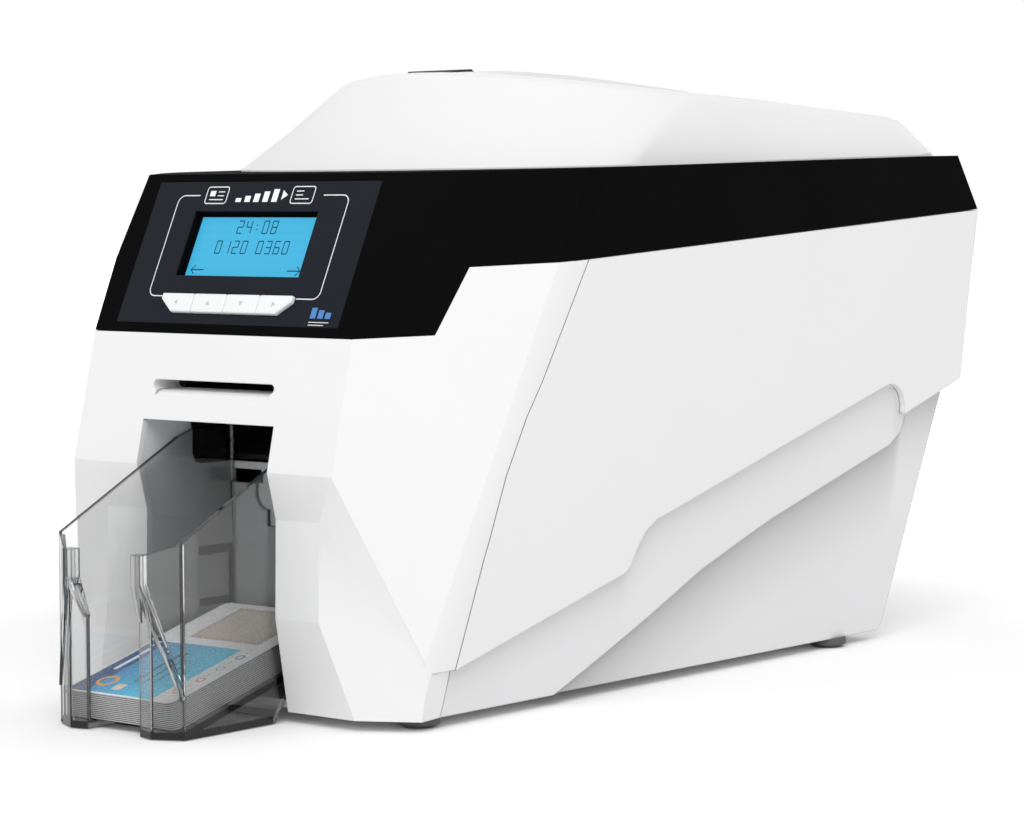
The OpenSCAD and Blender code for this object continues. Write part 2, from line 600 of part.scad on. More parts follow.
// print head hangs from the lid between the two film rolls
platen_y = 128;
head_z = path_z + 1.7;
module print_head() color([0.78, 0.79, 0.8]) placed() {
  bar_x(card_w + 6) polygon([[platen_y - 9, head_z + 3], [platen_y - 1.5, head_z],
    [platen_y + 2.5, head_z], [platen_y + 10, head_z + 5], [platen_y + 10, head_z + 16],
    [platen_y - 9, head_z + 16]]);
  for (k = [-3:3]) bar_at(k * 7.5, 2) polygon([[platen_y - 9, head_z + 15],
    [platen_y + 10, head_z + 15], [platen_y + 10, head_z + 20], [platen_y - 9, head_z + 20]]);
}
module head_bracket() color([0.25, 0.26, 0.28]) placed() {
  translate([-32, platen_y - 7, head_z + 20]) cube([64, 15, 2]);
  both_sides() bar_at(30, 2) polygon([[platen_y - 7, head_z + 20], [platen_y + 8, head_z + 20],
    [platen_y + 12, tray_z], [platen_y - 8, tray_z]]);
  translate([-22, platen_y - 1, head_z + 22]) cube([44, 2, tray_z - head_z - 22]);
}

// ---- inner frame -----------------------------------------------------------------
belt_t = 1.2;
drive_z = path_z - 0.4 - roller_r;
entry_y = 52;
exit_y = 206;
clean_y = 84;
clean_r = 8;
pinch_z = path_z + 0.4 + pinch_r;
clean_z = path_z + 0.5 + clean_r;
supply_at = [180, 163];
takeup_at = [78, 163];
hub_r = 5;
frame_x = frame_w / 2;
floor_z = base_z + wall + 0.1;
plate_rear = hinge_y + 6;
flange_w = 12;
module plate_outline() difference() {
  polygon([[44, floor_z], [300, floor_z], [plate_rear - 4, skirt_z + 4], [plate_rear, skirt_z + 12],
    [plate_rear, hinge_z - 12], [hinge_y + 1.5, hinge_z - 9],
    each arc([hinge_y, hinge_z], hinge_r + 2.8, -75, 150, 10), [hinge_y - 16, 188], [214, 188],
      [208, 184], [60, 184], [44, 150]]);
  for (c = [[98, 45, 26], [180, 60, 30], [270, 60, 34], [270, 150, 22]]) translate([c[0], c[1]])
    circle(r = c[2] / 2);
}
module frame_bores() {
  for (y = [entry_y, platen_y, exit_y]) at(y, drive_z) rod_x(shaft_r + run_gap, far);
  for (y = [entry_y, exit_y]) at(y, pinch_z) rod_x(shaft_r + run_gap, far);
  at(clean_y, clean_z) rod_x(shaft_r + run_gap, far);
  at(pick_y, pick_z) rod_x(shaft_r + run_gap, far);
  at(gate_y, gate_z) rod_x(1.5 + run_gap, far);
  at(hinge_y, hinge_z) rod_x(hinge_r + run_gap, far);
  // open seats that the film cores drop into
  for (c = [supply_at, takeup_at]) {
    at(c[0], c[1]) rod_x(hub_r + run_gap, far);
    translate([-far / 2, c[0] - hub_r - run_gap, c[1]]) cube([far, 2 * (hub_r + run_gap), 100]);
  }
}
module side_plate(side) mirror([side, 0, 0]) difference() {
  union() {
    bar_at(frame_x + plate_t / 2, plate_t) plate_outline();
    translate([frame_x, 52, floor_z]) cube([flange_w, 245, plate_t]);
  }
  frame_bores();
  for (y = [70, 285]) translate([frame_x + 8, y, 0]) cylinder(r = 1.7, h = 40);
  if (side == 1) at(platen_y, motor_z) rod_x(11, far);
}
module side_plate_left() color([0.72, 0.73, 0.75]) placed() side_plate(1);
module side_plate_right() color([0.72, 0.73, 0.75]) placed() side_plate(0);
// cross bars between the plates; the uppermost at the front is the latch's striker
bar_places = [[54, 22], [290, 22], [200, 30], [216, 176]];
module tie_bars() color([0.72, 0.73, 0.75]) placed() {
  for (c = bar_places) at(c[0], c[1]) rod_x(3, frame_w);
  both_sides() translate([frame_x - 4, striker[0] - 2.5, striker[1] - 8]) cube([4, 8, 11]);
  at(striker[0], striker[1]) rod_x(2.5, frame_w - 6);
}

path_front = 44;
gate_y = 111;
gate_z = path_z - 3.2;
gate_l = 17;
module card_path() color([0.13, 0.13, 0.14]) placed() difference() {
  union() {
    translate([-frame_x + 0.1, path_front, path_z - 2.9]) cube([frame_w - 0.2, 180, 2.4]);
    both_sides() translate([card_w / 2 + 0.3, path_front, path_z - 0.6]) cube([3, 180, 2.1]);
    both_sides() translate([frame_x - 4.1, path_front, path_z - 8]) cube([4, 180, 6]);
  }
  for (y = [entry_y, platen_y, exit_y]) translate([-card_w / 2 - 2.5, y - roller_r - 0.8, 0])
    cube([card_w + 5, 2 * roller_r + 1.6, 200]);
  translate([-card_w / 2 - 3, gate_y - gate_l - 1, path_z - 9]) cube([card_w + 6, gate_l + 5.5, 20]);
  at(gate_y, gate_z) rod_x(1.5 + clear, far);
  translate([-far / 2, platen_y - 19, path_z + 0.2]) cube([far, 38, 20]);
  for (y = [entry_y, platen_y, exit_y]) at(y, drive_z) rod_x(shaft_r + clear, far);
  translate([-card_w / 2 - 3.5, clean_y - clean_r - 0.6, path_z - 0.5])
    cube([card_w + 7, 2 * clean_r + 1.2, 20]);
}
// flap that sends finished cards down the chute
module card_gate() color([0.85, 0.85, 0.86]) placed() {
  at(gate_y, gate_z) rod_x(1.5, frame_w + 2);
  bar_x(card_w + 4) polygon([[gate_y + 2.2, gate_z - 1], [gate_y + 2.2, gate_z + 2.5],
    [gate_y - gate_l + 2, gate_z + 2.5], [gate_y - gate_l, gate_z + 2], [gate_y - 3, gate_z - 1.8]]);
}
module exit_chute() color([0.08, 0.08, 0.08]) placed() {
  bar_x(frame_w - 0.2) polygon([[42, 90], [42, 92], [106, 112.6], [106, 110.4]]);
  both_sides() bar_at(frame_x - 1.1, 2) polygon([[42, 90], [42, 97], [72, 107], [106, 112.6],
    [106, 110.4]]);
}

// ---- rollers and drive ------------------------------------------------------------
module roller(y, z, r, w, left, right) at(y, z) {
  rod_x(r, w);
  translate([(right - left) / 2, 0, 0]) rod_x(shaft_r, left + right);
}
pulley_r = 7;
pulley_x = frame_x + plate_t + 11;
stub = frame_x + plate_t + 1.5;
module pulley() translate([-pulley_x, 0, 0]) {
  rod_x(pulley_r, 6.4);
  for (s = [-1, 1]) translate([s * 3.8, 0, 0]) rod_x(pulley_r + 1.8, 1.2);
}
module platen_roller() color([0.2, 0.2, 0.21]) placed()
  roller(platen_y, drive_z, roller_r, card_w + 4, pulley_x + 6, stub);
module entry_roller() color([0.25, 0.25, 0.26]) placed() {
  roller(entry_y, drive_z, roller_r, card_w - 4, pulley_x + 6, stub);
  at(entry_y, drive_z) pulley();
}
module exit_roller() color([0.25, 0.25, 0.26]) placed() {
  roller(exit_y, drive_z, roller_r, card_w - 4, pulley_x + 6, stub);
  at(exit_y, drive_z) pulley();
}
module entry_pinch_roller() color([0.3, 0.3, 0.31]) placed()
  roller(entry_y, pinch_z, pinch_r, card_w - 4, stub, stub);
module exit_pinch_roller() color([0.3, 0.3, 0.31]) placed()
  roller(exit_y, pinch_z, pinch_r, card_w - 4, stub, stub);
module cleaning_roller() color([0.25, 0.45, 0.7]) placed()
  roller(clean_y, clean_z, clean_r, card_w, stub, stub);

// spur gear: teeth narrow from root to tip, gap centre half a pitch from each tooth
function gear_points(n, m) = let (r = n * m / 2, a = 360 / n) [for (k = [0:n - 1]) each
  [for (q = [[-0.33, -1.2], [-0.23, 0], [-0.11, 0.95], [0.11, 0.95], [0.23, 0], [0.33, -1.2]])
    (r + q[1] * m) * [cos((k + q[0]) * a), sin((k + q[0]) * a)]]];
gear_c = (platen_teeth + pinion_teeth) * gear_m / 2 + 0.1;
motor_z = drive_z - gear_c;
gear_x = frame_x + plate_t + 1;
module platen_gear() color([0.9, 0.9, 0.88]) placed() at(platen_y, drive_z) {
  difference() {
    translate([-gear_x - 2.5, 0, 0]) bar_x(5) rotate(-90) polygon(gear_points(platen_teeth, gear_m));
    rod_x(shaft_r, far);
    for (a = [0:60:300]) rotate([a, 0, 0]) translate([0, 12.5, 0]) rod_x(3.4, far);
  }
  difference() {
    union() {
      pulley();
      translate([-gear_x - 4, 0, 0]) rod_x(6, 5);
    }
    rod_x(shaft_r, far);
  }
}
module motor_pinion() color([0.8, 0.7, 0.4]) placed() at(platen_y, motor_z) {
  translate([-gear_x - 2.5, 0, 0]) bar_x(6) rotate(90 - 180 / pinion_teeth)
    polygon(gear_points(pinion_teeth, gear_m));
  translate([-gear_x + 0.6, 0, 0]) rod_x(2, 9);
}
module drive_motor() color([0.3, 0.31, 0.33]) placed() at(platen_y, motor_z) difference() {
  union() {
    translate([-frame_x + 15, 0, 0]) rod_x(16, 29.8);
    translate([-frame_x + 0.1 + 1, 0, 0]) cube([2, 38, 30], center = true);
    translate([-frame_x - 0.4, 0, 0]) rod_x(9, 2);
  }
  translate([-frame_x, 0, 0]) rod_x(2 + run_gap, 24);
}
module stadium(r) {
  translate([entry_y, drive_z]) circle(r = r);
  translate([exit_y, drive_z]) circle(r = r);
  translate([entry_y, drive_z - r]) square([exit_y - entry_y, 2 * r]);
}
module drive_belt() color([0.06, 0.06, 0.06]) placed() bar_at(-pulley_x, 5.6) difference() {
  stadium(pulley_r + run_gap + belt_t);
  stadium(pulley_r + run_gap);
}

// ---- film -----------------------------------------------------------------------
module spool(c, r) at(c[0], c[1]) {
  rod_x(hub_r, frame_w + 2 * plate_t + 4);
  rod_x(9, film_roll_w + 8);
  for (s = [-1, 1]) translate([s * (film_roll_w / 2 + 3), 0, 0]) rod_x(11, 2);
}
module supply_core() color([0.85, 0.86, 0.87]) placed() spool(supply_at);
module takeup_core() color([0.85, 0.86, 0.87]) placed() spool(takeup_at);
module film_ring(c, r) at(c[0], c[1]) difference() {
  rod_x(r, film_roll_w);
  rod_x(9, far);
}
module supply_film() color([0.1, 0.1, 0.12]) placed() film_ring(supply_at, supply_r);
module takeup_film() color([0.45, 0.2, 0.35]) placed() film_ring(takeup_at, takeup_r);
// point where a line from p touches the circle (c, r); s picks the side
function touch(p, c, r, s) = let (d = p - c, l = norm(d), a = acos(r / l))
  c + r * [cos(atan2(d[1], d[0]) + s * a), sin(atan2(d[1], d[0]) + s * a)];
web_t = 0.3;
web_z = path_z + 1.1;
web_rear = [platen_y + 14, web_z];
web_front = [platen_y - 14, web_z];
web_up = touch(web_rear, supply_at, supply_r + clear + web_t, 1);
web_down = touch(web_front, takeup_at, takeup_r + clear + web_t, -1);
module film_web() color([0.12, 0.1, 0.2]) placed() bar_x(film_roll_w - 2)
  polygon([web_down, web_front, web_rear, web_up,
  web_up + [web_t, -web_t], web_rear + [web_t, -web_t], web_front - [web_t, web_t],
    web_down - [web_t, web_t]]);

// ---- blank card magazine ------------------------------------------------------------
mag_y = rear_y - 119;
mag_l = card_l + 1.2;
mag_w = card_w + 1.2;
mag_t = 2.2;
mag_top = 189;
pick_y = mag_y + 18;
pick_r = 8;
pick_z = path_z - 0.5 - pick_r;
module card_magazine() color([0.16, 0.16, 0.17]) placed() difference() {
  union() {
    translate([-mag_w / 2 - mag_t, mag_y - mag_t, path_z - 3.2])
      cube([mag_w + 2 * mag_t, mag_l + 2 * mag_t, mag_top - path_z + 3.2]);
    for (y = [mag_y + 6, mag_y + mag_l - 14], z = [path_z + 2, mag_top - 20])
      translate([-frame_x + 0.1, y, z]) cube([frame_w - 0.2, 8, 6]);
  }
  translate([-mag_w / 2, mag_y, path_z - 0.5]) cube([mag_w, mag_l, 200]);
  translate([-mag_w / 2, mag_y - 10, path_z - 0.5]) cube([mag_w, 20, 1.2]);
  translate([-13, mag_y - 10, path_z + 6]) cube([26, 20, 200]);
  translate([-14, pick_y - pick_r - 0.6, path_z - 20]) cube([28, 2 * pick_r + 1.2, 25]);
  for (z = [140:14:170]) translate([-far / 2, mag_y + 24, z]) cube([far, mag_l - 48, 7]);
}
module blank_cards() color([0.97, 0.97, 0.97]) placed()
  card_stack(blank_cards_n, [0, mag_y + 0.6 + card_l / 2, path_z - 0.4]);
// a stack of rounded cards; each card is a hair smaller than its pitch so the edges show
module card_stack(n, at_p) translate(at_p) {
  for (k = [0:n - 1]) translate([0, 0, k * card_t + (n > 20 ? 0 : 0)]) if (n <= 20)
    card_blank(card_t - 0.08);
  if (n > 20) card_blank(n * card_t);
  if (n <= 20) linear_extrude(n * card_t - 0.08) card_outline(1.2);
}
module card_outline(i = 0) {
  r = 3.18 - i;
  square([card_w - 2 * i - 2 * r, card_l - 2 * i], center = true);
  square([card_w - 2 * i, card_l - 2 * i - 2 * r], center = true);
  for (x = [-1, 1], y = [-1, 1]) translate([x * (card_w / 2 - i - r), y * (card_l / 2 - i - r)])
    circle(r = r, $fn = 24);
}
module card_blank(h) linear_extrude(h) card_outline();
weight_z = path_z - 0.4 + blank_cards_n * card_t + 0.1;
module card_weight() color([0.35, 0.36, 0.38]) placed() {
  translate([-card_w / 2 + 0.5, mag_y + 1.1, weight_z]) cube([card_w - 1, card_l - 1, 6]);
  translate([-9, mag_y + mag_l / 2 - 12, weight_z + 5]) cube([18, 24, 7]);
}
module pick_roller() color([0.25, 0.25, 0.26]) placed() roller(pick_y, pick_z, pick_r, 26, stub, stub);

// ---- electrics ------------------------------------------------------------------------
module main_board() color([0.08, 0.3, 0.18]) placed() {
  translate([frame_x + plate_t + 6, 96, 18]) cube([1.6, 130, 84]);
  for (y = [102, 220], z = [24, 96]) translate([frame_x + plate_t + 3.1, y, z]) rod_x(2.5, 6.2);
  for (c = [[112, 40, 26, 22], [150, 60, 20, 20], [186, 34, 16, 26]])
    translate([frame_x + plate_t + 7, c[0], c[1]]) cube([3, c[2], c[3]]);
  for (y = [120:14:176]) translate([frame_x + plate_t + 12, y, 90]) rod_x(4, 10);
}
psu_l = 108;
psu_h = 46;
psu_y = 166;
// it fills the room between the side plate's flange and the housing wall
psu_in = frame_x + flange_w + 1;
psu_w = side_x(psu_y, floor_z) - recess - wall - 2.4 - psu_in;
module power_supply() color([0.7, 0.71, 0.73]) placed() {
  translate([-psu_in - psu_w, psu_y, floor_z]) cube([psu_w, psu_l, psu_h]);
  for (y = [psu_y + 6:8:psu_y + psu_l - 10]) translate([2 - psu_in - psu_w, y, floor_z + psu_h - 1])
    cube([psu_w - 4, 3, 2]);
}
module power_inlet() color([0.06, 0.06, 0.06]) placed() translate([inlet_at[0], rear_y, inlet_at[1]])
  difference() {
  union() {
    translate([-13.8, -24, -10.2]) cube([27.6, 24, 20.4]);
    translate([-16, -wall - 2.2, -12.5]) cube([32, 2, 25]);
  }
  translate([0, 1, 0]) rotate([90, 0, 0]) linear_extrude(17)
    polygon([[-11, -8], [11, -8], [11, 3.5], [6.5, 8], [-6.5, 8], [-11, 3.5]]);
}
// rocker on a pin across its snap-in frame
rocker_y = rear_y - 7;
rocker_r = 1.5;
module power_switch() color([0.1, 0.1, 0.1]) placed() translate([switch_at[0], rocker_y, switch_at[1]])
  difference() {
  bar_x(18.6) polygon([[-3, -3], [-3, 3], [1, 4.7], [6.8, 4.6], [4.4, 0], [3.6, -4.6], [1, -4.7]]);
  rod_x(rocker_r + run_gap, far);
}
module switch_frame() color([0.05, 0.05, 0.05]) placed()
  translate([switch_at[0], rocker_y, switch_at[1]]) {
  difference() {
    translate([-10.9, -7, -7.4]) cube([21.8, 13.8, 14.8]);
    translate([-9.6, -5.5, -6.1]) cube([19.2, 20, 12.2]);
  }
  rod_x(rocker_r, 20);
}
module usb_socket() color([0.75, 0.76, 0.78]) placed() translate([usb_at[0], rear_y, usb_at[1]])
  difference() {
  translate([-6, -16, -5.5]) cube([12, 15.6, 11]);
  translate([-4.2, -10, -3.9]) cube([8.4, 12, 7.8]);
}
module network_socket() color([0.75, 0.76, 0.78]) placed()
  translate([network_at[0], rear_y, network_at[1]]) difference() {
  translate([-8, -18, -6.8]) cube([16, 17.6, 13.6]);
  translate([-6, -13, -4.6]) cube([12, 15, 8]);
}
fan_y = rear_y - wall - 15;
module fan_frame() color([0.08, 0.08, 0.08]) placed() translate([fan_at[0], fan_y, fan_at[1]])
  rotate([-90, 0, 0]) difference() {
  translate([-fan_size / 2, -fan_size / 2, 0]) cube([fan_size, fan_size, 14.7]);
  translate([0, 0, 3]) cylinder(r = fan_size / 2 - 2, h = 20);
  difference() {
    translate([0, 0, -1]) cylinder(r = fan_size / 2 - 2, h = 8);
    cylinder(r = 9, h = 3);
    for (a = [0, 120, 240]) rotate(a) translate([0, -2, 0]) cube([30, 4, 3]);
  }
  for (x = [-1, 1], y = [-1, 1]) translate([x * (fan_size / 2 - 4), y * (fan_size / 2 - 4), -1])
    cylinder(r = 1.6, h = 20);
}
module fan_rotor() color([0.12, 0.12, 0.12]) placed() translate([fan_at[0], fan_y + 3.3, fan_at[1]])
  rotate([-90, 0, 0]) {
  cylinder(r = 10, h = 10);
  for (a = [0:360 / 7:359]) rotate(a) translate([9, 0, 5]) rotate([38, 0, 0]) translate([0, -5, -0.6])
    cube([12.5, 10, 1.2]);
}

// ---- clear tray and its cards ---------------------------------------------------------
tray_x = tray_w / 2;
flap_d = 5.6;
ramp_y = flap_d - tray_reach;
ramp_z = 2.7;
function ramp_at(y) = ramp_z + tan(tray_slope) * (y - ramp_y);
tray_back = bay_back - 1.2;
tray_low = bay_floor + 0.5;
tray_base = 0.3;
module tray_side() polygon([[flap_d - tray_reach, tray_base], [-6, tray_base], [-1, tray_low],
  [tray_back, tray_low], [tray_back, 104], [17, 103.6],
  [7.2, 100.4], [flap_d - tray_reach, tray_front_z]]);
finger_gap = 26;
notch_d = 15.6;
// each front flap is flat above a slanting rib; below it leans forward to a crease and back to its free edge
crease_x = tray_x - 11;
free_x = finger_gap / 2;
free_d = 2.2;
pad_w = 4.4;
pad_low = tray_front_z - 17;
rib_low = 14;
rib_t = 1.5;
module front_view(p) translate([0, 30, 0]) rotate([90, 0, 0]) linear_extrude(100) polygon(p);
module flap(free_top) {
  pad_x = free_top + pad_w;
  intersection() {
    linear_extrude(100) translate([0, -tray_reach])
      polygon([[tray_x, flap_d], [pad_x, 0.6], [free_top, 0.6], [free_top, 0.6 + tray_t],
      [pad_x, 0.6 + tray_t], [tray_x - tray_t, flap_d + tray_t], [tray_x, flap_d + tray_t]]);
    front_view([[tray_x + 1, rib_low], [tray_x + 1, tray_front_z + 0.4], [tray_x, tray_front_z],
      [pad_x, tray_front_z - 5], [free_top, tray_front_z - 5],
      [free_top, pad_low], [pad_x, pad_low]]);
  }
  intersection() {
    linear_extrude(100) translate([0, -tray_reach])
      polygon([[tray_x, flap_d], [crease_x, 0], [free_x - 4, free_d + 0.6],
      [free_x - 4, free_d + 0.6 + tray_t],
      [crease_x, tray_t], [tray_x - tray_t, flap_d + tray_t], [tray_x, flap_d + tray_t]]);
    front_view([[free_x + 0.4, tray_base], [tray_x + 1, tray_base], [tray_x + 1, rib_low + 1],
      [pad_x, pad_low + 1], [free_top, pad_low + 1],
      [free_top, pad_low], [free_x + 0.4, pad_low - 12]]);
  }
  // pad on the free edge and the rib that runs from it down to the side
  translate([free_top, 0.2 - tray_reach, pad_low]) cube([pad_w, 4.2, tray_front_z - 5 - pad_low]);
  hull() {
    translate([free_top, 0.2 - tray_reach, pad_low]) cube([pad_w, 4.2, rib_t]);
    translate([free_x + 0.4, 1.2 - tray_reach, pad_low - 12]) cube([rib_t, 2.6, 0.2]);
  }
  mid_x = max(pad_x, crease_x);
  mid_z = pad_low - (mid_x - pad_x) / (tray_x - pad_x) * (pad_low - rib_low);
  hull() {
    translate([pad_x - rib_t, 0.1 - tray_reach, pad_low]) cube([rib_t, 4.3, rib_t]);
    translate([mid_x - rib_t, 0.6 - tray_reach, mid_z]) cube([rib_t, 4, rib_t]);
    translate([tray_x - rib_t, flap_d - 0.7 - tray_reach, rib_low]) cube([rib_t, 2.4, rib_t]);
  }
}
module card_tray() color([0.45, 0.47, 0.5, 0.4]) placed() {
  both_sides() bar_at(tray_x - tray_t / 2, tray_t) tray_side();
  flap(free_x - 2);
  mirror([1, 0, 0]) flap(free_x + 6.3);
  // floor with the finger notch, and the ramp that carries the cards
  both_sides() translate([0, -tray_reach, tray_base]) linear_extrude(ramp_z - tray_base)
    polygon([[0, notch_d], [free_x + 0.4, notch_d],
    [free_x + 0.4, free_d + 1], [crease_x, 1], [tray_x - 0.8, flap_d + 0.6],
      [tray_x - 0.8, tray_reach - 6], [0, tray_reach - 6]]);
  difference() {
    bar_x(tray_w - tray_t) polygon([[ramp_y - 1, ramp_z - 1.6], [ramp_y, ramp_z],
      [tray_back, ramp_at(tray_back)], [tray_back, ramp_at(tray_back) - tray_t],
      [ramp_y + 4, ramp_z - 1.6]]);
    translate([-free_x - 0.4, -70, 0]) cube([finger_gap + 0.8, 70 - tray_reach + notch_d, 60]);
  }
  // back wall with the thumb notch
  translate([0, tray_back, 0]) rotate([90, 0, 0]) linear_extrude(tray_t) difference() {
    polygon([[-tray_x, tray_low], [tray_x, tray_low], [tray_x, 82], [-tray_x, 82]]);
    translate([-11.5, 72]) square([23, 20]);
    translate([-17.5, 78]) square([35, 20]);
    for (x = [-11.5, 11.5]) translate([x, 78]) circle(r = 6);
    translate([-11.5, 66]) square([23, 8]);
  }
}
module printed_cards() color([0.95, 0.96, 0.98]) placed()
  translate([0, ramp_y + 0.9, ramp_z + 0.35]) rotate([tray_slope, 0, 0])
    card_stack(tray_cards, [0, card_l / 2, 0]);

module screws() color([0.6, 0.61, 0.63]) placed() {
  for (x = [-1, 1], y = [70, 285]) translate([x * (frame_x + 8), y, floor_z + plate_t]) {
    cylinder(r = 3, h = 1.8);
    translate([0, 0, -plate_t]) cylinder(r = 1.6, h = plate_t + 1);
  }
}

base_housing();
front_fascia();
card_bay();
side_cover_left();
side_cover_right();
rear_panel();
top_bezel();
panel_film();
display_module();
key_1();
key_2();
key_3();
key_4();
control_board();
feed_slot_liner();
lid_shell();
lid_inner_tray();
lid_button();
lid_latch();
hinge_rod();
print_head();
head_bracket();
side_plate_left();
side_plate_right();
tie_bars();
card_path();
card_gate();
exit_chute();
platen_roller();
platen_gear();
entry_roller();
exit_roller();
entry_pinch_roller();
exit_pinch_roller();
cleaning_roller();
drive_belt();
drive_motor();
motor_pinion();
supply_core();
supply_film();
takeup_core();
takeup_film();
film_web();
card_magazine();
blank_cards();
card_weight();
pick_roller();
main_board();
power_supply();
power_inlet();
power_switch();
switch_frame();
usb_socket();
network_socket();
fan_frame();
fan_rotor();
card_tray();
printed_cards();
feet();
screws();
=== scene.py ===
import math

import bmesh
import bpy
from mathutils import Matrix, Vector


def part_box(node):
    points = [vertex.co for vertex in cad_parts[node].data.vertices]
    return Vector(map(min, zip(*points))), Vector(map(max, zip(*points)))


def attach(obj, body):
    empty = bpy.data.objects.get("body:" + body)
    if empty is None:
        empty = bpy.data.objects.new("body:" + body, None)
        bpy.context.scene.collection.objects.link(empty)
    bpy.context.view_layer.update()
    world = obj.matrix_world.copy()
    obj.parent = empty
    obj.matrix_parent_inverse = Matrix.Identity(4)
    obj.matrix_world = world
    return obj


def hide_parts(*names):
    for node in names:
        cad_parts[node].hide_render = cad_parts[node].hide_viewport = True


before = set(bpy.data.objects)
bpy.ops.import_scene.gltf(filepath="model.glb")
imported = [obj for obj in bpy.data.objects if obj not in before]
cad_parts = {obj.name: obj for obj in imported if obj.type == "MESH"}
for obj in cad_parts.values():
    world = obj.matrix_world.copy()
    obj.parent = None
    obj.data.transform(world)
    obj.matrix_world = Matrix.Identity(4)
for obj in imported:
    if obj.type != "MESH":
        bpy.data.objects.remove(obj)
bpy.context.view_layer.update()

# ---- The view ----------------------------------------------------------------
# A long lens stands off the front corner, a little lower than the lid, so the
# front and the long side with its swept recess show.
picture_wide = 1024
focal_in_pixels = 3127.5
sensor_wide = 36.0
camera_place = Vector((0.80584, -0.96638, 0.18946))
camera_azimuth = math.radians(39.19)
camera_dip = math.radians(3.87)
camera_roll = math.radians(-0.19)

looking = Vector((-math.sin(camera_azimuth) * math.cos(camera_dip),
                  math.cos(camera_azimuth) * math.cos(camera_dip),
                  -math.sin(camera_dip)))
level_right = Vector((math.cos(camera_azimuth), math.sin(camera_azimuth), 0))
level_up = level_right.cross(looking)
camera_right = math.cos(camera_roll) * level_right + math.sin(camera_roll) * level_up
camera_up = math.cos(camera_roll) * level_up - math.sin(camera_roll) * level_right

camera_data = bpy.data.cameras.new("camera")
camera_data.sensor_width = sensor_wide
camera_data.lens = focal_in_pixels / picture_wide * sensor_wide
camera_data.clip_start = 0.05
camera_data.clip_end = 30
camera = bpy.data.objects.new("camera", camera_data)
bpy.context.scene.collection.objects.link(camera)
camera.matrix_world = Matrix.Translation(camera_place) @ Matrix(
    (camera_right, camera_up, -looking)).transposed().to_4x4()
bpy.context.scene.camera = camera
bpy.context.scene.view_settings.view_transform = "Standard"

# ---- The table and the light -------------------------------------------------
# A wide pale table top runs out of sight. A white room gives an even light, and
# one large soft lamp stands high on the camera's side. Far off, the top glows white.
table_size = 16.0
under_feet = 0.0001
table_bounce = 0.94
pure_white = (1, 1, 1, 1)
near_lift, far_lift = 0.04, 0.80
near_table, far_table = 0.24, 0.9
room_light = 0.745
backdrop_light = 1.0
lamp_power = 25.0
lamp_size = 1.5
lamp_place = Vector((1.10, -1.53, 1.84))
lamp_aim = Vector((0, 0, 0.12))


def seen_rays(nodes, links):
    """1 for rays that bring the background to the picture: straight, mirrored or through clear plastic."""
    path = nodes.new("ShaderNodeLightPath")
    some = nodes.new("ShaderNodeMath")
    some.operation = "MAXIMUM"
    links.new(path.outputs["Is Camera Ray"], some.inputs[0])
    links.new(path.outputs["Is Glossy Ray"], some.inputs[1])
    any_of = nodes.new("ShaderNodeMath")
    any_of.operation = "MAXIMUM"
    links.new(some.outputs[0], any_of.inputs[0])
    links.new(path.outputs["Is Transmission Ray"], any_of.inputs[1])
    return any_of.outputs[0]


def own_place(nodes):
    """The piece's own coordinates, in metres from the middle of the machine's footprint."""
    return nodes.new("ShaderNodeTexCoord").outputs["Object"]


def by_ray(nodes, links, output, lighting, seen):
    """One shader throws light on the machine, and the other is what the picture shows."""
    which = nodes.new("ShaderNodeMixShader")
    links.new(seen_rays(nodes, links), which.inputs[0])
    links.new(lighting.outputs[0], which.inputs[1])
    links.new(seen.outputs[0], which.inputs[2])
    links.new(which.outputs[0], output.inputs["Surface"])


def spread(nodes, links, value, low, high, first, last):
    """first to last as the value goes from low to high, and held at both ends."""
    step = nodes.new("ShaderNodeMapRange")
    for label, number in (("From Min", low), ("From Max", high), ("To Min", first), ("To Max", last)):
        step.inputs[label].default_value = number
    links.new(value, step.inputs["Value"])
    return step.outputs["Result"]


bpy.ops.object.select_all(action="DESELECT")
bpy.ops.mesh.primitive_grid_add(x_subdivisions=8, y_subdivisions=8, size=table_size,
                                location=(0, 0, -under_feet))
table = bpy.context.object
table.name = "table_top"
bpy.ops.object.transform_apply(location=True)

table_paint = bpy.data.materials.new("table_paint")
table_paint.use_nodes = True
nodes, links = table_paint.node_tree.nodes, table_paint.node_tree.links
nodes.clear()
output = nodes.new("ShaderNodeOutputMaterial")
paint = nodes.new("ShaderNodeBsdfDiffuse")
paint.inputs["Color"].default_value = (table_bounce, table_bounce, table_bounce, 1)
seen_paint = nodes.new("ShaderNodeBsdfDiffuse")
seen_paint.inputs["Color"].default_value = pure_white
far_off = nodes.new("ShaderNodeVectorMath")
far_off.operation = "LENGTH"
links.new(own_place(nodes), far_off.inputs[0])
lift = nodes.new("ShaderNodeEmission")
rise = spread(nodes, links, far_off.outputs["Value"], near_table, far_table, near_lift, far_lift)
links.new(rise, lift.inputs["Strength"])
seen = nodes.new("ShaderNodeAddShader")
links.new(seen_paint.outputs[0], seen.inputs[0])
links.new(lift.outputs[0], seen.inputs[1])
by_ray(nodes, links, output, paint, seen)
table.data.materials.append(table_paint)

world = bpy.data.worlds.new("white_room")
bpy.context.scene.world = world
world.use_nodes = True
nodes, links = world.node_tree.nodes, world.node_tree.links
nodes.clear()
output = nodes.new("ShaderNodeOutputWorld")
room = nodes.new("ShaderNodeBackground")
backdrop = nodes.new("ShaderNodeBackground")
for light, strength in ((room, room_light), (backdrop, backdrop_light)):
    light.inputs["Color"].default_value = pure_white
    light.inputs["Strength"].default_value = strength
by_ray(nodes, links, output, room, backdrop)

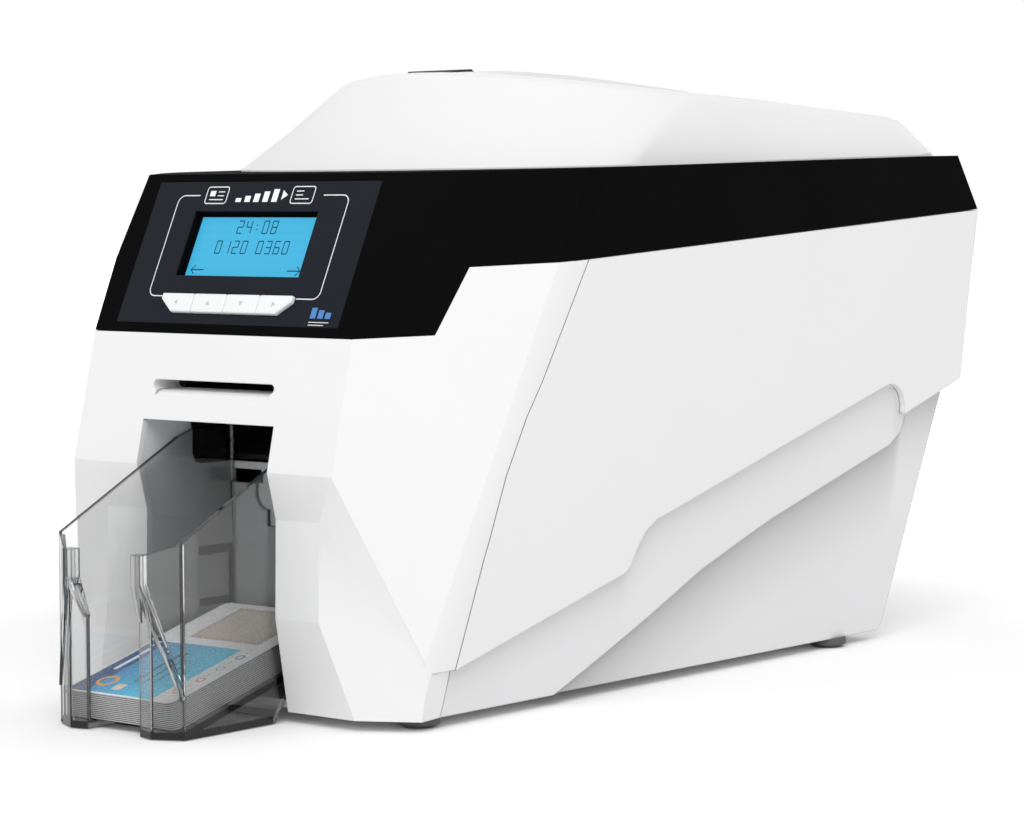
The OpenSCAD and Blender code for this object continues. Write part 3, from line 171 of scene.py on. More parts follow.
lamp_data = bpy.data.lights.new("soft_lamp", "AREA")
lamp_data.energy = lamp_power
lamp_data.size = lamp_size
lamp = bpy.data.objects.new("soft_lamp", lamp_data)
bpy.context.scene.collection.objects.link(lamp)
lamp.location = lamp_place
lamp.rotation_euler = (lamp_aim - lamp_place).to_track_quat("-Z", "Y").to_euler()

# ---- White covers ------------------------------------------------------------
# Front, both side covers and the lid are injection moulded in white ABS with a
# fine spark-eroded grain. They snap on and meet at narrow seams.
white_abs = (0.845, 0.845, 0.85)
white_gloss = 0.44
mould_grain = 0.0006
mould_cloud = 0.05
grain_depth = 0.000012
moulded_corner = 0.0005
corner_gain = 4.0
gloss_swing = 0.06
handled_gloss = 0.3
# corners are painted paler: partly wear where hands rub them, partly a painted highlight
wear_and_highlight_paleness = 0.3
shade_samples = 4


def value_group(name, inputs, outputs):
    """A shader node group with these named sockets, and its two end nodes."""
    group = bpy.data.node_groups.new(name, "ShaderNodeTree")
    for label, kind, value in inputs:
        socket = group.interface.new_socket(label, in_out="INPUT", socket_type="NodeSocket" + kind)
        socket.default_value = value
    for label, kind in outputs:
        group.interface.new_socket(label, in_out="OUTPUT", socket_type="NodeSocket" + kind)
    return group, group.nodes.new("NodeGroupInput"), group.nodes.new("NodeGroupOutput")


def chain(nodes, links, operation, first, second=0.0):
    """One Math node; each side is a socket or a plain number."""
    step = nodes.new("ShaderNodeMath")
    step.operation = operation
    for place, side in enumerate((first, second)):
        if isinstance(side, (int, float)):
            step.inputs[place].default_value = side
        else:
            links.new(side, step.inputs[place])
    return step.outputs[0]


mould_skin, start, end = value_group(
    "mould_skin", [("Grain Size", "Float", mould_grain), ("Cloud Size", "Float", mould_cloud)],
    [("Grain", "Float"), ("Cloud", "Float")])
nodes, links = mould_skin.nodes, mould_skin.links
for size, result, detail in (("Grain Size", "Grain", 2.0), ("Cloud Size", "Cloud", 3.0)):
    speckle = nodes.new("ShaderNodeTexNoise")
    speckle.inputs["Detail"].default_value = detail
    links.new(own_place(nodes), speckle.inputs["Vector"])
    links.new(chain(nodes, links, "DIVIDE", 1.0, start.outputs[size]), speckle.inputs["Scale"])
    links.new(speckle.outputs[0], end.inputs[result])

soft_corner, start, end = value_group(
    "soft_corner", [("Radius", "Float", moulded_corner)], [("Normal", "Vector"), ("Corner", "Float")])
nodes, links = soft_corner.nodes, soft_corner.links
rounding = nodes.new("ShaderNodeBevel")
rounding.samples = shade_samples
links.new(start.outputs["Radius"], rounding.inputs["Radius"])
flat = nodes.new("ShaderNodeNewGeometry")
agree = nodes.new("ShaderNodeVectorMath")
agree.operation = "DOT_PRODUCT"
links.new(rounding.outputs[0], agree.inputs[0])
links.new(flat.outputs["Normal"], agree.inputs[1])
turn = chain(nodes, links, "SUBTRACT", 1.0, agree.outputs["Value"])
turn = chain(nodes, links, "MULTIPLY", turn, corner_gain)
turn = chain(nodes, links, "MINIMUM", turn, 1.0)
links.new(rounding.outputs[0], end.inputs["Normal"])
links.new(turn, end.inputs["Corner"])


def placed_group(nodes, group, **values):
    """The group as a node of a material, with these input values."""
    node = nodes.new("ShaderNodeGroup")
    node.node_tree = group
    for label, value in values.items():
        node.inputs[label.replace("_", " ")].default_value = value
    return node


def two_tones(nodes, links, share, first, second):
    """A colour between two, by a socket from 0 to 1; each colour is a triple or a socket."""
    mix = nodes.new("ShaderNodeMix")
    mix.data_type = "RGBA"
    links.new(share, mix.inputs["Factor"])
    for label, tone in (("A", first), ("B", second)):
        place = [s for s in mix.inputs if s.name == label and s.type == "RGBA"][0]
        if isinstance(tone, bpy.types.NodeSocket):
            links.new(tone, place)
        else:
            place.default_value = (*tone, 1)
    return [s for s in mix.outputs if s.type == "RGBA"][0]


def shaded(colour, strength):
    """The colour made darker or lighter by one factor, up to full brightness."""
    return tuple(min(1, c * strength) for c in colour)


def ramp(nodes, links, share, low, high):
    """A value from low to high as share goes from 0 to 1."""
    span = chain(nodes, links, "MULTIPLY", share, high - low)
    return chain(nodes, links, "ADD", span, low)


def bare_material(name):
    """A material that holds one Principled BSDF, and what a recipe needs of it."""
    material = bpy.data.materials.new(name)
    material.use_nodes = True
    nodes, links = material.node_tree.nodes, material.node_tree.links
    nodes.clear()
    output = nodes.new("ShaderNodeOutputMaterial")
    shader = nodes.new("ShaderNodeBsdfPrincipled")
    links.new(shader.outputs[0], output.inputs["Surface"])
    return material, nodes, links, shader


def skin_bump(nodes, links, shader, height, depth, corner=None):
    """Fine relief over softened corners, led to the shader's Normal."""
    bump = nodes.new("ShaderNodeBump")
    bump.inputs["Distance"].default_value = depth
    links.new(height, bump.inputs["Height"])
    if corner:
        links.new(corner.outputs["Normal"], bump.inputs["Normal"])
    links.new(bump.outputs[0], shader.inputs["Normal"])


def moulded(name, colour, gloss, grain=mould_grain, depth=grain_depth, radius=moulded_corner,
            shine=0.5, cloud=0.012, wear_and_highlight=0.25, painted_shade=None):
    """Moulded plastic: a clouded colour, a fine grain, and paler corners, partly wear where hands rub them
    and partly a painted highlight on the rounded edges.

    The last argument gives a mask of painted shade, where the colour is painted towards black.
    """
    material, nodes, links, shader = bare_material(name)
    shader.inputs["Specular IOR Level"].default_value = shine
    skin = placed_group(nodes, mould_skin, Grain_Size=grain)
    corner = placed_group(nodes, soft_corner, Radius=radius)
    darker, lighter = shaded(colour, 1 - 2 * cloud), shaded(colour, 1 + cloud)
    worn_and_lit_colour = tuple(c + (1 - c) * wear_and_highlight * wear_and_highlight_paleness for c in colour)
    body = two_tones(nodes, links, skin.outputs["Cloud"], darker, lighter)
    worn_and_lit = chain(nodes, links, "MULTIPLY", corner.outputs["Corner"], wear_and_highlight)
    body = two_tones(nodes, links, worn_and_lit, body, worn_and_lit_colour)
    if painted_shade:
        body = two_tones(nodes, links, painted_shade(nodes, links), body, (0, 0, 0))
    links.new(body, shader.inputs["Base Color"])
    rough = ramp(nodes, links, skin.outputs["Grain"], gloss - gloss_swing, gloss + gloss_swing)
    rubbed = chain(nodes, links, "MULTIPLY", worn_and_lit, handled_gloss)
    links.new(chain(nodes, links, "SUBTRACT", rough, rubbed), shader.inputs["Roughness"])
    skin_bump(nodes, links, shader, skin.outputs["Grain"], depth, corner)
    return material


def dress(material, *names):
    """Gives CAD nodes this finish in place of the plain one."""
    for name in names:
        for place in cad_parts[name].material_slots:
            place.material = material


def only(*objects):
    """Selects just these objects and makes the first one active."""
    bpy.ops.object.select_all(action="DESELECT")
    for o in objects:
        o.select_set(True)
    bpy.context.view_layer.objects.active = objects[0]


weld_gap = 1e-6
flat_turn = math.radians(0.3)


def cleaned_copy(node, name, smooth_to):
    """A copy of a CAD node with its triangles joined into whole faces, shaded smooth up to an angle."""
    piece = bpy.data.objects.new(name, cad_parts[node].data.copy())
    bpy.context.scene.collection.objects.link(piece)
    only(piece)
    bpy.ops.mesh.customdata_custom_splitnormals_clear()
    bpy.ops.object.mode_set(mode="EDIT")
    bpy.ops.mesh.select_all(action="SELECT")
    bpy.ops.mesh.remove_doubles(threshold=weld_gap)
    bpy.ops.mesh.dissolve_limited(angle_limit=flat_turn)
    bpy.ops.object.mode_set(mode="OBJECT")
    bpy.ops.object.shade_smooth_by_angle(angle=math.radians(smooth_to))
    return piece


def apply_all(piece):
    """Applies the modifiers in their order."""
    only(piece)
    for modifier in list(piece.modifiers):
        bpy.ops.object.modifier_apply(modifier=modifier.name)


def seat(piece, material, body):
    """Material, body and slot of a finished piece."""
    piece.data.materials.clear()
    piece.data.materials.append(material)
    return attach(piece, body)


side_corner = 0.0011
# painted shade at the seams: near the narrow gaps between covers the colour is darkened by how closed in
# each point is
seam_depth = 0.0012
seam_open, seam_gain, seam_dark = 0.9, 1.6, 0.9

seam_shade, start, end = value_group(
    "seam_shade", [("Depth", "Float", seam_depth)], [("Dark", "Float")])
nodes, links = seam_shade.nodes, seam_shade.links
open_to_air = nodes.new("ShaderNodeAmbientOcclusion")
open_to_air.samples = shade_samples
links.new(start.outputs["Depth"], open_to_air.inputs["Distance"])
closed = chain(nodes, links, "SUBTRACT", seam_open, open_to_air.outputs["AO"])
closed = chain(nodes, links, "MAXIMUM", chain(nodes, links, "MULTIPLY", closed, seam_gain), 0.0)
links.new(chain(nodes, links, "MINIMUM", closed, seam_dark), end.inputs["Dark"])


def painted_seam_shade(nodes, links):
    """Painted shade in and beside the narrow gaps between covers."""
    return placed_group(nodes, seam_shade, Depth=seam_depth).outputs["Dark"]


white_cover = moulded("white_cover", white_abs, white_gloss, painted_shade=painted_seam_shade)
# the side covers' wider rounded edges are painted much paler, a painted highlight
side_cover = moulded("side_cover", white_abs, white_gloss, radius=side_corner, wear_and_highlight=0.9, painted_shade=painted_seam_shade)
dress(side_cover, "side_cover_left", "side_cover_right")

# the front's cheek rolls softly from under the brow, and the bow rolls into the side
rolled_edges = [((0.0229, 0.0745), 0.0882), ((0.0213, 0.1666), 0.0892)]
height_slack, aside_slack = 0.0006, 0.001


def is_rolled(low, high):
    """True for an edge from low to high that lies where one of the rolled edges does, on either side."""
    for (foot, top), aside in rolled_edges:
        at_height = abs(low.z - foot) < height_slack and abs(high.z - top) < height_slack
        if at_height and abs(abs(low.x) - aside) < aside_slack and low.x * high.x > 0:
            return True
    return False


front_cover = cleaned_copy("front_fascia", "front_cover", 1)
bpy.ops.object.mode_set(mode="EDIT")
bpy.ops.mesh.select_mode(type="EDGE")
bpy.ops.mesh.select_all(action="DESELECT")
bpy.ops.object.mode_set(mode="OBJECT")
corners = front_cover.data.vertices
for side in front_cover.data.edges:
    low, high = sorted((corners[v].co for v in side.vertices), key=lambda co: co.z)
    side.select = is_rolled(low, high)
bpy.ops.object.mode_set(mode="EDIT")
bpy.ops.mesh.mark_sharp(clear=True)
bpy.ops.object.mode_set(mode="OBJECT")
seat(front_cover, white_cover, "housing")
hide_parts("front_fascia")

# ---- Lid ---------------------------------------------------------------------
# The lid is one large white moulding, drawn smooth from its round nose over the
# crown to the lip above the hinge. Its tool is polished finer than the covers'.
lid_cover = moulded("lid_cover", white_abs, 0.4, depth=0.000008)
lid = cleaned_copy("lid_shell", "lid_cover_shell", 28)
even = lid.modifiers.new("even", "WEIGHTED_NORMAL")
even.keep_sharp = True
apply_all(lid)
seat(lid, lid_cover, "lid")
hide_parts("lid_shell")

# ---- Lower housing and rear panel --------------------------------------------
# The lower tub with its swept grip band and the rear panel are moulded in ABS. Their
# colour is painted a little greyer than the covers that hook over them, as painted shade.
tub_abs_and_shade = (0.80, 0.80, 0.81)
# the edges run from front to back as (way behind the panel's lip, height)
lip_to_middle = 0.1467
cover_edge = [(0.0, 0.0137), (0.123, 0.0472), (0.1285, 0.0555), (0.1449, 0.0677),
              (0.2926, 0.1105), (0.303, 0.109), (0.3085, 0.0985)]
grip_edge = [(0.0, -0.03), (0.086, 0.003), (0.1449, 0.0287), (0.205, 0.0543), (0.2215, 0.0601),
             (0.3036, 0.0847), (0.3111, 0.0902), (0.314, 0.099), (0.3155, 0.1115), (0.36, 0.1115)]
# how far down each edge's painted shade reaches, and how dark it is at the edge
shade_under_cover, shade_under_grip = (0.026, 0.17), (0.05, 0.42)


def own_axes(nodes, links, turn=None, shift=None):
    """X, Y and Z of the piece's own coordinates, turned and then shifted where that is asked."""
    vector = own_place(nodes)
    if turn:
        lay = nodes.new("ShaderNodeMapping")
        lay.inputs["Rotation"].default_value = turn
        lay.inputs["Location"].default_value = shift or (0, 0, 0)
        links.new(vector, lay.inputs["Vector"])
        vector = lay.outputs[0]
    parts = nodes.new("ShaderNodeSeparateXYZ")
    links.new(vector, parts.inputs[0])
    return tuple(parts.outputs)


def shade_under_edges(nodes, links):
    """Painted shade where the cover's edge would throw shade on the grip band, and the band's edge on the
    tub.
    """
    along, up = own_axes(nodes, links)[1:]
    shades = []
    for edge, (reach, strength) in ((cover_edge, shade_under_cover), (grip_edge, shade_under_grip)):
        height = edge[0][1]
        for (y0, z0), (y1, z1) in zip(edge, edge[1:]):
            climb = spread(nodes, links, along, y0 - lip_to_middle, y1 - lip_to_middle, 0, z1 - z0)
            height = chain(nodes, links, "ADD", climb, height)
        below = chain(nodes, links, "SUBTRACT", height, up)
        near = chain(nodes, links, "SUBTRACT", 1.0, chain(nodes, links, "MULTIPLY", below, 1 / reach))
        near = chain(nodes, links, "MULTIPLY", near, chain(nodes, links, "GREATER_THAN", below, 0.0))
        near = chain(nodes, links, "MAXIMUM", near, 0.0)
        soft = chain(nodes, links, "MULTIPLY", near, near)
        shades.append(chain(nodes, links, "MULTIPLY", soft, strength))
    return chain(nodes, links, "MAXIMUM", *shades)


# painted shade under the edges, and much paler rounded edges that are mostly a painted highlight
tub_cover = moulded("tub_cover", tub_abs_and_shade, 0.5, radius=side_corner, wear_and_highlight=0.9, painted_shade=shade_under_edges)
dress(tub_cover, "base_housing", "rear_panel")

# ---- Card bay ----------------------------------------------------------------
# The liner of the front bay is one ABS moulding set into the front, painted pale grey as
# shade. Its side walls are cut through, and what lies behind the cuts is painted black as shade.
bay_abs_and_shade = (0.74, 0.745, 0.75)
bay_half_wide = 0.0333
wall_slack = 0.0002
past_wall_shade_depth = 0.97


def shade_behind_wall(nodes, links):
    """Painted shade: the liner past the bay's inner walls, seen through its slots, painted nearly black."""
    aside = chain(nodes, links, "ABSOLUTE", own_axes(nodes, links)[0])
    past = chain(nodes, links, "GREATER_THAN", aside, bay_half_wide + wall_slack)
    return chain(nodes, links, "MULTIPLY", past, past_wall_shade_depth)


dress(moulded("liner_cover", bay_abs_and_shade, 0.5, painted_shade=shade_behind_wall), "card_bay")

# ---- Dark band ---------------------------------------------------------------
# One black moulding wraps the front, both sides and the deck round the lid, and
# carries the control panel. Its matt skin reflects hardly anything.
band_abs = (0.0048, 0.0048, 0.005)
band_cover = moulded("band_cover", band_abs, 0.6, shine=0.004, cloud=0.1, wear_and_highlight=0.02)
dress(band_cover, "top_bezel")

# ---- Inner black mouldings ---------------------------------------------------
# The card path with its slot liner, chute and magazine, the lid's tray, button and
# head bracket, and the fan, inlet and switch are moulded in black plastic, matt
# from the tool, and are clipped or screwed to the frame, the lid and the rear panel.
black_plastic = (0.022, 0.022, 0.024)
inner_black = moulded("inner_black", black_plastic, 0.5, shine=0.3, cloud=0.1, wear_and_highlight=0.05)
dress(inner_black, "feed_slot_liner", "lid_inner_tray", "lid_button", "head_bracket", "card_path",
      "exit_chute", "card_magazine", "power_inlet", "power_switch", "switch_frame", "fan_frame",
      "fan_rotor")

# ---- Panel film --------------------------------------------------------------
# A polyester film, printed blue-black from behind, lies in a shallow pocket of the
# panel. A thin white line, a card sign and a few plain bars are its only print.
film_ink = (0.0125, 0.0148, 0.021)
panel_rise, panel_run = 58.9, 27.5
panel_lean = math.atan2(panel_rise, panel_run)
film_low, film_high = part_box("panel_film")
panel = Matrix.Translation((film_low + film_high) / 2) @ Matrix.Rotation(panel_lean, 4, "X")
# places on the panel are in millimetres: aside from its middle, up from its lip
panel_mm = panel @ Matrix.Diagonal((0.001, 0.001, 0.001, 1))
film_from_lip = 32.8
film_face = 0.25
ink_thick = 0.03
frame_left, frame_right = -44.0, 43.0
frame_low, frame_high = 14.8, 56.1
frame_round = 3.2
gap_left, gap_right = -33.2, 30.0
key_row_left, key_row_right = -35.6, 32.0
stroke, fine_stroke = 0.5, 0.35

film_skin = moulded("film_skin", film_ink, 0.42, grain=0.0003, depth=0.000004, shine=0.06,
                    cloud=0.06, wear_and_highlight=0.02)
dress(film_skin, "panel_film")
white_ink = moulded("white_ink", (0.86, 0.87, 0.88), 0.5, grain=0.0002, depth=0.000002, radius=0.00005)
blue_ink = moulded("blue_ink", (0.06, 0.22, 0.55), 0.5, grain=0.0002, depth=0.000002, radius=0.00005)


def bend(cx, cy, r, start, turn, steps=6):
    """Points of an arc, angles in degrees."""
    return [(cx + r * math.cos(math.radians(start + turn * k / steps)),
             cy + r * math.sin(math.radians(start + turn * k / steps))) for k in range(steps + 1)]


def strokes(name, paths, width, thick, level, place):
    """Flat lines of one width along paths of (x, y), laid at a level of the plane that place gives."""
    line = bpy.data.curves.new(name, "CURVE")
    line.dimensions = "3D"
    line.bevel_depth = width / 2
    line.bevel_resolution = 1
    line.use_fill_caps = True
    for path in paths:
        spline = line.splines.new("POLY")
        spline.points.add(len(path) - 1)
        for point, (x, y) in zip(spline.points, path):
            point.co = (x, y, 0, 1)
    piece = bpy.data.objects.new(name, line)
    bpy.context.scene.collection.objects.link(piece)
    only(piece)
    bpy.ops.object.convert(target="MESH")
    piece = bpy.context.object
    flatten = Matrix.Diagonal((1, 1, thick / width, 1))
    piece.data.transform(place @ Matrix.Translation((0, 0, level)) @ flatten)
    return piece


def plates(name, outlines, thick, level, place):
    """Thin closed plates with these outlines, each a list of (x, y) that runs anticlockwise."""
    mesh = bpy.data.meshes.new(name)
    piece = bpy.data.objects.new(name, mesh)
    bpy.context.scene.collection.objects.link(piece)
    bm = bmesh.new()
    for outline in outlines:
        low = [bm.verts.new((x, y, level)) for x, y in outline]
        high = [bm.verts.new((x, y, level + thick)) for x, y in outline]
        bm.faces.new(low[::-1])
        bm.faces.new(high)
        for k in range(len(low)):
            j = (k + 1) % len(low)
            bm.faces.new((low[k], low[j], high[j], high[k]))
    bm.to_mesh(mesh)
    bm.free()
    mesh.transform(place)
    return piece


def on_film(path):
    """Millimetres over the panel's lip made into millimetres from the film's middle."""
    return [(x, y - film_from_lip) for x, y in path]


def box_outline(x0, x1, y0, y1):
    """The four corners of a rectangle, anticlockwise."""
    return [(x0, y0), (x1, y0), (x1, y1), (x0, y1)]


def round_box(x0, x1, y0, y1, r):
    """Closed path of a rectangle with round corners."""
    path = (bend(x1 - r, y0 + r, r, -90, 90, 3) + bend(x1 - r, y1 - r, r, 0, 90, 3)
            + bend(x0 + r, y1 - r, r, 90, 90, 3) + bend(x0 + r, y0 + r, r, 180, 90, 3))
    return path + path[:1]


# the frame line has a gap below for the keys and one above between the two signs
bend_left, bend_right = frame_left + frame_round, frame_right - frame_round
bend_low, bend_high = frame_low + frame_round, frame_high - frame_round
line_right = [(key_row_right, frame_low)] + bend(bend_right, bend_low, frame_round, -90, 90)
line_right += bend(bend_right, bend_high, frame_round, 0, 90) + [(gap_right, frame_high)]
line_left = [(gap_left, frame_high)] + bend(bend_left, bend_high, frame_round, 90, 90)
line_left += bend(bend_left, bend_low, frame_round, 180, 90) + [(key_row_left, frame_low)]

sign_low, sign_high, sign_round = 52.8, 59.6, 1.1
card_sign = [round_box(-30, -19, sign_low, sign_high, sign_round),
             [(-24, 57.6), (-20.8, 57.6)], [(-24, 56), (-20.8, 56)], [(-28, 54.4), (-20.8, 54.4)]]
second_sign = [round_box(14, 25, sign_low, sign_high, sign_round),
               [(16, 54.6), (23, 54.6)], [(16, 56.2), (19.6, 56.2)], [(16, 57.8), (19.6, 57.8)]]
line_paths = [on_film(p) for p in [line_right, line_left] + card_sign + second_sign]
print_lines = strokes("panel_print_lines", line_paths, stroke, ink_thick, film_face, panel_mm)
seat(print_lines, white_ink, "housing")

bars = [box_outline(-14 + 4.6 * k, -11.2 + 4.6 * k, 53.4, 55.0 + 0.9 * k) for k in range(5)]
arrow = [(9.2, 54.2), (12.0, 56.2), (9.2, 58.2)]
sign_field = box_outline(-28.2, -25.4, 55.8, 58.0)
mark_outlines = [on_film(p) for p in bars + [arrow, sign_field]]
print_marks = plates("panel_print_marks", mark_outlines, ink_thick, film_face, panel_mm)
seat(print_marks, white_ink, "housing")

corner_bars = [box_outline(41.5 + 3.6 * k, 44.1 + 3.6 * k, 7.4, 11.6 - 0.9 * k) for k in range(3)]
corner_outlines = [on_film(p) for p in corner_bars]
print_corner = plates("panel_print_corner", corner_outlines, ink_thick, film_face, panel_mm)
seat(print_corner, blue_ink, "housing")

rule_paths = [on_film([(41.5, 5.9), (51.2, 5.9)]), on_film([(41.5, 4.8), (49, 4.8)])]
corner_rules = strokes("panel_print_rules", rule_paths, fine_stroke, ink_thick, film_face, panel_mm)
seat(corner_rules, white_ink, "housing")

# ---- Display -----------------------------------------------------------------
# A back-lit liquid crystal module sits behind the window in a black frame. Its glass
# glows light blue and shows plain numbers and two arrows in darker segments.
lit_blue = (0.066, 0.54, 0.87)
segment_blue = (0.02, 0.15, 0.24)
frame_black = (0.006, 0.006, 0.007)
window_x, window_y = -1.6, 36.5
half_wide, half_high = 30.2, 12.2
screen_level = -3.7 + film_face
glass_thick = 0.2
segment_wide, segment_thick = 0.5, 0.05
row_pitch = 0.0037699
# a wave texture of scale 1 repeats in this many metres
wave_repeat = math.tau / 20
clouds_per_metre = 40
row_share, cloud_share = 0.25, 0.5
dimmest, unlit = 0.9, 0.25

display_frame = moulded("display_frame", frame_black, 0.5, shine=0.03, cloud=0.05, wear_and_highlight=0.02)
dress(display_frame, "display_module")

cell_rows, start, end = value_group(
    "cell_rows", [("Pitch", "Float", row_pitch)], [("Dim", "Float")])
nodes, links = cell_rows.nodes, cell_rows.links
turned = nodes.new("ShaderNodeMapping")
turned.inputs["Rotation"].default_value = (-panel_lean, 0, 0)
links.new(own_place(nodes), turned.inputs["Vector"])
rows = nodes.new("ShaderNodeTexWave")
rows.bands_direction = "Y"
rows.inputs["Distortion"].default_value = 0
links.new(chain(nodes, links, "DIVIDE", wave_repeat, start.outputs["Pitch"]), rows.inputs["Scale"])
links.new(turned.outputs[0], rows.inputs["Vector"])
cloud = nodes.new("ShaderNodeTexNoise")
cloud.inputs["Scale"].default_value = clouds_per_metre
links.new(turned.outputs[0], cloud.inputs["Vector"])
dim = chain(nodes, links, "MULTIPLY", rows.outputs["Fac"], row_share)
dim = chain(nodes, links, "ADD", dim, chain(nodes, links, "MULTIPLY", cloud.outputs[0], cloud_share))
links.new(dim, end.inputs["Dim"])


def glowing(name, colour, glow):
    """Lit display: fine rows of cells over a glow with faint clouds."""
    material, nodes, links, shader = bare_material(name)
    shader.inputs["Roughness"].default_value = 0.25
    shader.inputs["Specular IOR Level"].default_value = 0.15
    shader.inputs["Emission Strength"].default_value = glow
    dim = placed_group(nodes, cell_rows, Pitch=row_pitch).outputs["Dim"]
    for label, tone in (("Emission Color", colour), ("Base Color", shaded(colour, unlit))):
        links.new(two_tones(nodes, links, dim, tone, shaded(tone, dimmest)), shader.inputs[label])
    return material


display_glow = glowing("display_glow", lit_blue, 0.66)
segment_glow = glowing("segment_glow", segment_blue, 0.3)
screen_outline = box_outline(window_x - half_wide, window_x + half_wide,
                             window_y - half_high, window_y + half_high)
screen = plates("display_screen", [on_film(screen_outline)], glass_thick, screen_level, panel_mm)
seat(screen, display_glow, "housing")

# segments a to g of a digit that is 1 wide and 2 high
segment_ends = {"a": ((0, 2), (1, 2)), "b": ((1, 2), (1, 1)), "c": ((1, 1), (1, 0)), "d": ((0, 0), (1, 0)),
                "e": ((0, 1), (0, 0)), "f": ((0, 2), (0, 1)), "g": ((0, 1), (1, 1))}
digit_segments = {"0": "abcdef", "1": "bc", "2": "abged", "3": "abgcd", "4": "fgbc",
                  "5": "afgcd", "6": "afgedc", "7": "abc", "8": "abcdefg", "9": "abcdfg"}
digit_wide, digit_step = 2.5, 4.4
upper_row, lower_row = 42.2, 34.0


def numerals(text, left, low):
    """Paths of a row of seven-segment numerals."""
    paths = []
    for place, digit in enumerate(text):
        x0 = left + place * digit_step
        for letter in digit_segments[digit]:
            paths.append([(x0 + x * digit_wide, low + y * digit_wide) for x, y in segment_ends[letter]])
    return paths


shown = numerals("24", -12.0, upper_row) + numerals("08", 1.0, upper_row)
shown += numerals("0120", -20.2, lower_row) + numerals("0360", 1.0, lower_row)
colon = [[(-2.6, 43.8), (-1.9, 43.8)], [(-2.6, 45.6), (-1.9, 45.6)]]
arrow_left = [[(-29.6, 27.2), (-23.0, 27.2)], [(-27.6, 29.0), (-29.6, 27.2), (-27.6, 25.4)]]
arrow_right = [[(19.6, 27.2), (26.2, 27.2)], [(24.2, 29.0), (26.2, 27.2), (24.2, 25.4)]]
segment_paths = [on_film(p) for p in shown + colon + arrow_left + arrow_right]
segments = strokes("display_segments", segment_paths, segment_wide, segment_thick,
                   screen_level + glass_thick, panel_mm)
seat(segments, segment_glow, "housing")

# ---- Keys --------------------------------------------------------------------
# Four white key caps stand side by side through one window of the film. Each is
# moulded with rounded edges and has a small grey sign for its direction.
key_cap_colour = (0.86, 0.865, 0.87)
key_edge = 0.0008
key_sharp = math.radians(40)
key_smooth = 30
key_row_x, key_pitch = -1.8, 16.7
key_low, key_high = 8.2, 7.4
key_face = 1.5 + film_face
key_cap = moulded("key_cap", key_cap_colour, 0.38, depth=0.000006)
key_sign_ink = moulded("key_sign_ink", (0.55, 0.56, 0.57), 0.5, radius=0.00005)
key_signs = {1: [(-0.9, 0), (0.9, -1.1), (0.9, 1.1)], 2: [(-1.1, -0.9), (1.1, -0.9), (0, 0.9)],
             3: [(0, -0.9), (1.1, 0.9), (-1.1, 0.9)], 4: [(-0.9, -1.1), (0.9, 0), (-0.9, 1.1)]}
row_middle = (1 + len(key_signs)) / 2
sign_y = key_low + key_high / 2
for number, sign in key_signs.items():
    cap = cleaned_copy(f"key_{number}", f"key_cap_{number}", key_smooth)
    edge = cap.modifiers.new("edge", "BEVEL")
    edge.width = key_edge
    edge.segments = 3
    edge.limit_method = "ANGLE"
    edge.angle_limit = key_sharp
    apply_all(cap)
    bpy.ops.object.shade_smooth_by_angle(angle=math.radians(key_smooth))
    seat(cap, key_cap, f"key_{number}")
    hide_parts(f"key_{number}")
    sign_x = key_row_x + (number - row_middle) * key_pitch
    outline = on_film([(sign_x + x, sign_y + y) for x, y in sign])
    mark = plates(f"key_sign_{number}", [outline], ink_thick, key_face, panel_mm)
    seat(mark, key_sign_ink, f"key_{number}")

# ---- Clear tray --------------------------------------------------------------
# The output tray is moulded in smoke-tinted clear plastic. Light that runs inside
# the walls is soaked up, and the cut edges, ribs and wall ends carry a painted dark reflection.
smoke_per_metre = 90.0
clear_bend = 1.49
flow_size = 0.004
flow_depth = 0.000006
roughest_flow = 0.03
clear_cool, clear_full = (0.96, 0.965, 0.97), (1.0, 1.0, 1.0)
cut_edge = 0.0014
painted_dark_reflection = (0.02, 0.02, 0.022)
dark_reflection_share = 0.95
wall_heart = 0.0303
aside_turn = 0.4
wall_shine, end_shine = 0.5, 0.06


def tinted_clear(name, smoke):
    """Clear plastic: faint flow waves on the skin, smoke inside, and a painted dark reflection on cut edges
    and wall ends.
    """
    material, nodes, links, shader = bare_material(name)
    output = [n for n in nodes if n.type == "OUTPUT_MATERIAL"][0]
    shader.inputs["Transmission Weight"].default_value = 1.0
    shader.inputs["IOR"].default_value = clear_bend
    skin = placed_group(nodes, mould_skin, Grain_Size=flow_size)
    links.new(ramp(nodes, links, skin.outputs["Grain"], 0.0, roughest_flow), shader.inputs["Roughness"])
    tint = two_tones(nodes, links, skin.outputs["Cloud"], clear_cool, clear_full)
    rim = placed_group(nodes, soft_corner, Radius=cut_edge)
    facing, turned = nodes.new("ShaderNodeNewGeometry"), nodes.new("ShaderNodeSeparateXYZ")
    links.new(facing.outputs["Normal"], turned.inputs[0])
    outer = chain(nodes, links, "ABSOLUTE", own_axes(nodes, links)[0])
    outer = chain(nodes, links, "GREATER_THAN", outer, wall_heart)
    endways = chain(nodes, links, "ABSOLUTE", turned.outputs["X"])
    endways = chain(nodes, links, "LESS_THAN", endways, aside_turn)
    wall_end = chain(nodes, links, "MULTIPLY", outer, endways)
    # painted dark reflection on the rounded cut edges and the outer walls' ends
    dark = chain(nodes, links, "MAXIMUM", rim.outputs["Corner"], wall_end)
    dark = chain(nodes, links, "MULTIPLY", dark, dark_reflection_share)
    links.new(two_tones(nodes, links, dark, tint, painted_dark_reflection), shader.inputs["Base Color"])
    links.new(ramp(nodes, links, wall_end, wall_shine, end_shine), shader.inputs["Specular IOR Level"])
    skin_bump(nodes, links, shader, skin.outputs["Grain"], flow_depth)
    inside = nodes.new("ShaderNodeVolumeAbsorption")
    inside.inputs["Color"].default_value = (0, 0, 0, 1)
    inside.inputs["Density"].default_value = smoke
    links.new(inside.outputs[0], output.inputs["Volume"])
    return material


dress(tinted_clear("tray_plastic", smoke_per_metre), "card_tray")

